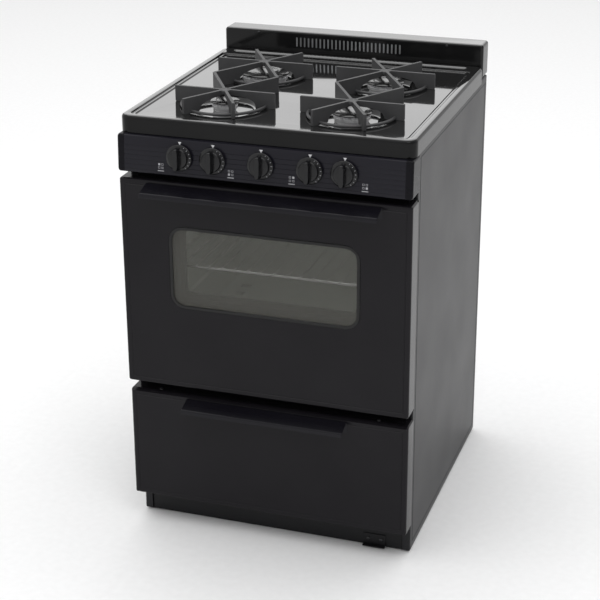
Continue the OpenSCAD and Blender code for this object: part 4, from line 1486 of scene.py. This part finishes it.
@dataclass
class ScrewHeads:
    """Cross-recessed screw heads in place of a node's plain ones."""

    node: str
    body: str
    finish: Finish = SCREW_STEEL
    flat_deep: float = 0.0018

    def islands(self) -> list[list[Vector]]:
        """The node's separate solids, as lists of points.

        Returns:
            The points of each solid, in a fixed order.
        """
        bm = bmesh.new()
        bm.from_mesh(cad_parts[self.node].data)
        bmesh.ops.remove_doubles(bm, verts=bm.verts, dist=MERGE)
        left = set(bm.verts)
        found = []
        while left:
            queue = [left.pop()]
            group = list(queue)
            while queue:
                for edge in queue.pop().link_edges:
                    for vert in edge.verts:
                        if vert in left:
                            left.remove(vert)
                            queue.append(vert)
                            group.append(vert)
            found.append([v.co.copy() for v in group])
        bm.free()
        return sorted(found,
                      key=lambda pts: tuple(round(sum(p[i] for p in pts) / len(pts), 4) for i in range(3)))

    def build(self) -> None:
        """Make one head and shank for each solid of the node."""
        shape = Shape()
        for points in self.islands():
            lo = Vector([min(p[i] for p in points) for i in range(3)])
            hi = Vector([max(p[i] for p in points) for i in range(3)])
            size = hi - lo
            centre = (lo + hi) / 2
            axis = max(range(3), key=lambda i: min(abs(size[i] - size[j]) for j in range(3) if j != i))
            radius = max(size[j] for j in range(3) if j != axis) / 2
            wide = [p[axis] for p in points
                    if math.hypot(*[(p - centre)[j] for j in range(3) if j != axis]) > radius * 0.9]
            sign = 1.0 if sum(wide) / len(wide) > centre[axis] else -1.0
            if self.node == "cabinet_screws" and axis == 1 and size[axis] < self.flat_deep:
                sign = -1.0
            outer = hi[axis] if sign > 0 else lo[axis]
            under = min(wide) if sign > 0 else max(wide)
            head = abs(outer - under)
            direction = Vector([sign if i == axis else 0.0 for i in range(3)])
            foot = Vector(centre)
            foot[axis] = under
            turn = Matrix.Translation(foot) @ direction.to_track_quat("Z", "Y").to_matrix().to_4x4()
            shape.join(self.screw(radius, head, max(size[axis] - head, 0.001)).move(turn))
        Piece(self.node + "_heads", self.finish, self.body, "bright_steel", (self.node,)).make(shape)

    @staticmethod
    def screw(radius: float, head: float, shank: float) -> Shape:
        """One screw that points to +Z, with the underside of its head at the origin.

        Args:
            radius: The head's radius.
            head: The head's height.
            shank: The shank's length.

        Returns:
            The shape.
        """
        shape = Shape()
        dome = ((0.5, 1.0), (0.8, 0.86), (0.96, 0.55), (1.0, 0.2), (1.0, 0.0), (0.46, 0.0))
        rows = [[(x, y, head * k) for x, y in circle(0, 0, radius * r, 24)] for r, k in dome]
        rows.append([(x, y, -shank) for x, y in circle(0, 0, radius * 0.46, 24)])
        rings = shape.skin(rows, cap_end=True)
        arm, half = radius * 0.42, radius * 0.09
        plus = [(half, -arm), (half, -half), (arm, -half), (arm, half), (half, half), (half, arm),
                (-half, arm), (-half, half), (-arm, half), (-arm, -half), (-half, -half), (-half, -arm)]
        cross = shape.skin([[(x, y, head) for x, y in plus],
                            [(x * 0.7, y * 0.7, head * 0.45) for x, y in plus]], cap_end=True)
        shape.fill(rings[0], [cross[0]])
        return shape


# ------------------------------------------------------------------- studio


@dataclass
class Studio:
    """The camera, the soft lights, the floor and the plain surroundings."""

    eye: Point = (1.0236, -3.1117, 1.8065)
    yaw: float = 0.3249
    pitch: float = 0.3809
    roll: float = -0.0053
    focal_px: float = 1612.8
    shift_px: float = 24.0
    frame_px: float = 600.0
    sensor_mm: float = 36.0
    bright: Colour = (1.0, 1.0, 1.0)
    dim: Colour = (0.34, 0.34, 0.35)
    dim_towards: Point = (0.9, -0.55, 0.0)
    floor_reach: float = 14.0
    floor_middle: float = 2.0
    floor_gap: float = 0.0002

    def build_camera(self) -> None:
        """Place the camera."""
        data = bpy.data.cameras.new("view")
        data.sensor_width = self.sensor_mm
        data.lens = self.focal_px * self.sensor_mm / self.frame_px
        data.shift_y = -self.shift_px / self.frame_px
        data.clip_end = 60.0
        camera = bpy.data.objects.new("view", data)
        forward = Vector((-math.sin(self.yaw) * math.cos(self.pitch),
                          math.cos(self.yaw) * math.cos(self.pitch), -math.sin(self.pitch)))
        right = Vector((math.cos(self.yaw), math.sin(self.yaw), 0.0))
        up = right.cross(forward)
        c, s = math.cos(self.roll), math.sin(self.roll)
        axes = (c * right + s * up, -s * right + c * up, -forward)
        rows = [(*(axis[i] for axis in axes), self.eye[i]) for i in range(3)]
        camera.matrix_world = Matrix([*rows, (0, 0, 0, 1)])
        bpy.context.scene.collection.objects.link(camera)
        bpy.context.scene.camera = camera

    def light(self, name: str, place: Point, target: Point, size: Point2, watts: float) -> None:
        """Add one soft light that the camera doesn't see.

        Args:
            name: Its name.
            place: Its centre.
            target: The point that it faces.
            size: Its width and height.
            watts: Its power.
        """
        data = bpy.data.lights.new(name, "AREA")
        data.shape = "RECTANGLE"
        data.size, data.size_y = size
        data.energy = watts
        lamp = bpy.data.objects.new(name, data)
        lamp.location = place
        lamp.rotation_euler = (Vector(target) - Vector(place)).to_track_quat("-Z", "Y").to_euler()
        lamp.visible_camera = False
        bpy.context.scene.collection.objects.link(lamp)

    def build_lights(self) -> None:
        """Light the range softly from above, the right and behind."""
        self.light("key", (1.6, -2.4, 3.6), (0, 0, 0.6), (1.8, 1.8), 22)
        self.light("top", (0.0, 0.0, 5.0), (0, 0, 0), (6.0, 6.0), 110)
        self.light("rear", (-1.5, 4.2, 2.9), (0, 0, 0.9), (4.0, 1.8), 5)
        self.light("oven", (0.0, -0.16, 0.762), (0, 0.02, 0.4), (0.36, 0.10), 0.35)
        world = bpy.data.worlds.new("surroundings")
        world.use_nodes = True
        tree = world.node_tree
        background = tree.nodes["Background"]
        background.inputs["Strength"].default_value = 1.0
        direction = tree.nodes.new("ShaderNodeTexCoord")
        lean = tree.nodes.new("ShaderNodeVectorMath")
        lean.operation = "DOT_PRODUCT"
        lean.inputs[1].default_value = self.dim_towards
        blend = tree.nodes.new("ShaderNodeMix")
        blend.data_type = "RGBA"
        blend.inputs[6].default_value = (*self.bright, 1.0)
        blend.inputs[7].default_value = (*self.dim, 1.0)
        tree.links.new(direction.outputs["Generated"], lean.inputs[0])
        tree.links.new(lean.outputs["Value"], blend.inputs[0])
        tree.links.new(blend.outputs[2], background.inputs["Color"])
        bpy.context.scene.world = world
        bpy.context.scene.view_settings.view_transform = "Standard"

    def build_floor(self) -> None:
        """Lay the plain pale floor."""
        shape = Shape()
        steps = (-self.floor_reach, -self.floor_middle, self.floor_middle, self.floor_reach)
        shape.skin([[(x, y, -self.floor_gap) for x in steps] for y in steps], closed=False)
        mesh = bpy.data.meshes.new("floor")
        mesh.from_pydata(shape.points, [], shape.faces)
        floor = bpy.data.objects.new("floor", mesh)
        mesh.materials.append(Moulded("floor_paint", (0.86, 0.86, 0.86), 0.7, texture=0.02).material())
        bpy.context.scene.collection.objects.link(floor)


# --------------------------------------------------------------------- main


def main() -> None:
    """Build the range's looks, piece by piece."""
    logging.basicConfig(level=logging.INFO, format="%(message)s")
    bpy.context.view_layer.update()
    studio = Studio()
    studio.build_camera()
    studio.build_lights()
    studio.build_floor()
    burners = [Burner(where) for where in ("front_left", "front_right", "rear_left", "rear_right")]
    centres = [burner.centre() for burner in burners]
    Cooktop().build(centres)
    for burner in burners:
        burner.build()
    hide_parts("burner_heads")
    Grate("left", "grate_l").build(centres[0], centres[2])
    Grate("right", "grate_r").build(centres[1], centres[3])
    panel = ControlPanel()
    panel.build()
    for name, x in zip(KNOB_NAMES, panel.knob_x):
        Knob(name, x).build(panel)
    Door().build()
    Drawer().build()
    Cabinet().build()
    RackHooks().build()
    for node, body in (("door_screws", "door"), ("drawer_screws", "drawer"), ("cabinet_screws", "cabinet")):
        ScrewHeads(node, body).build()


if __name__ == "__main__":
    main()
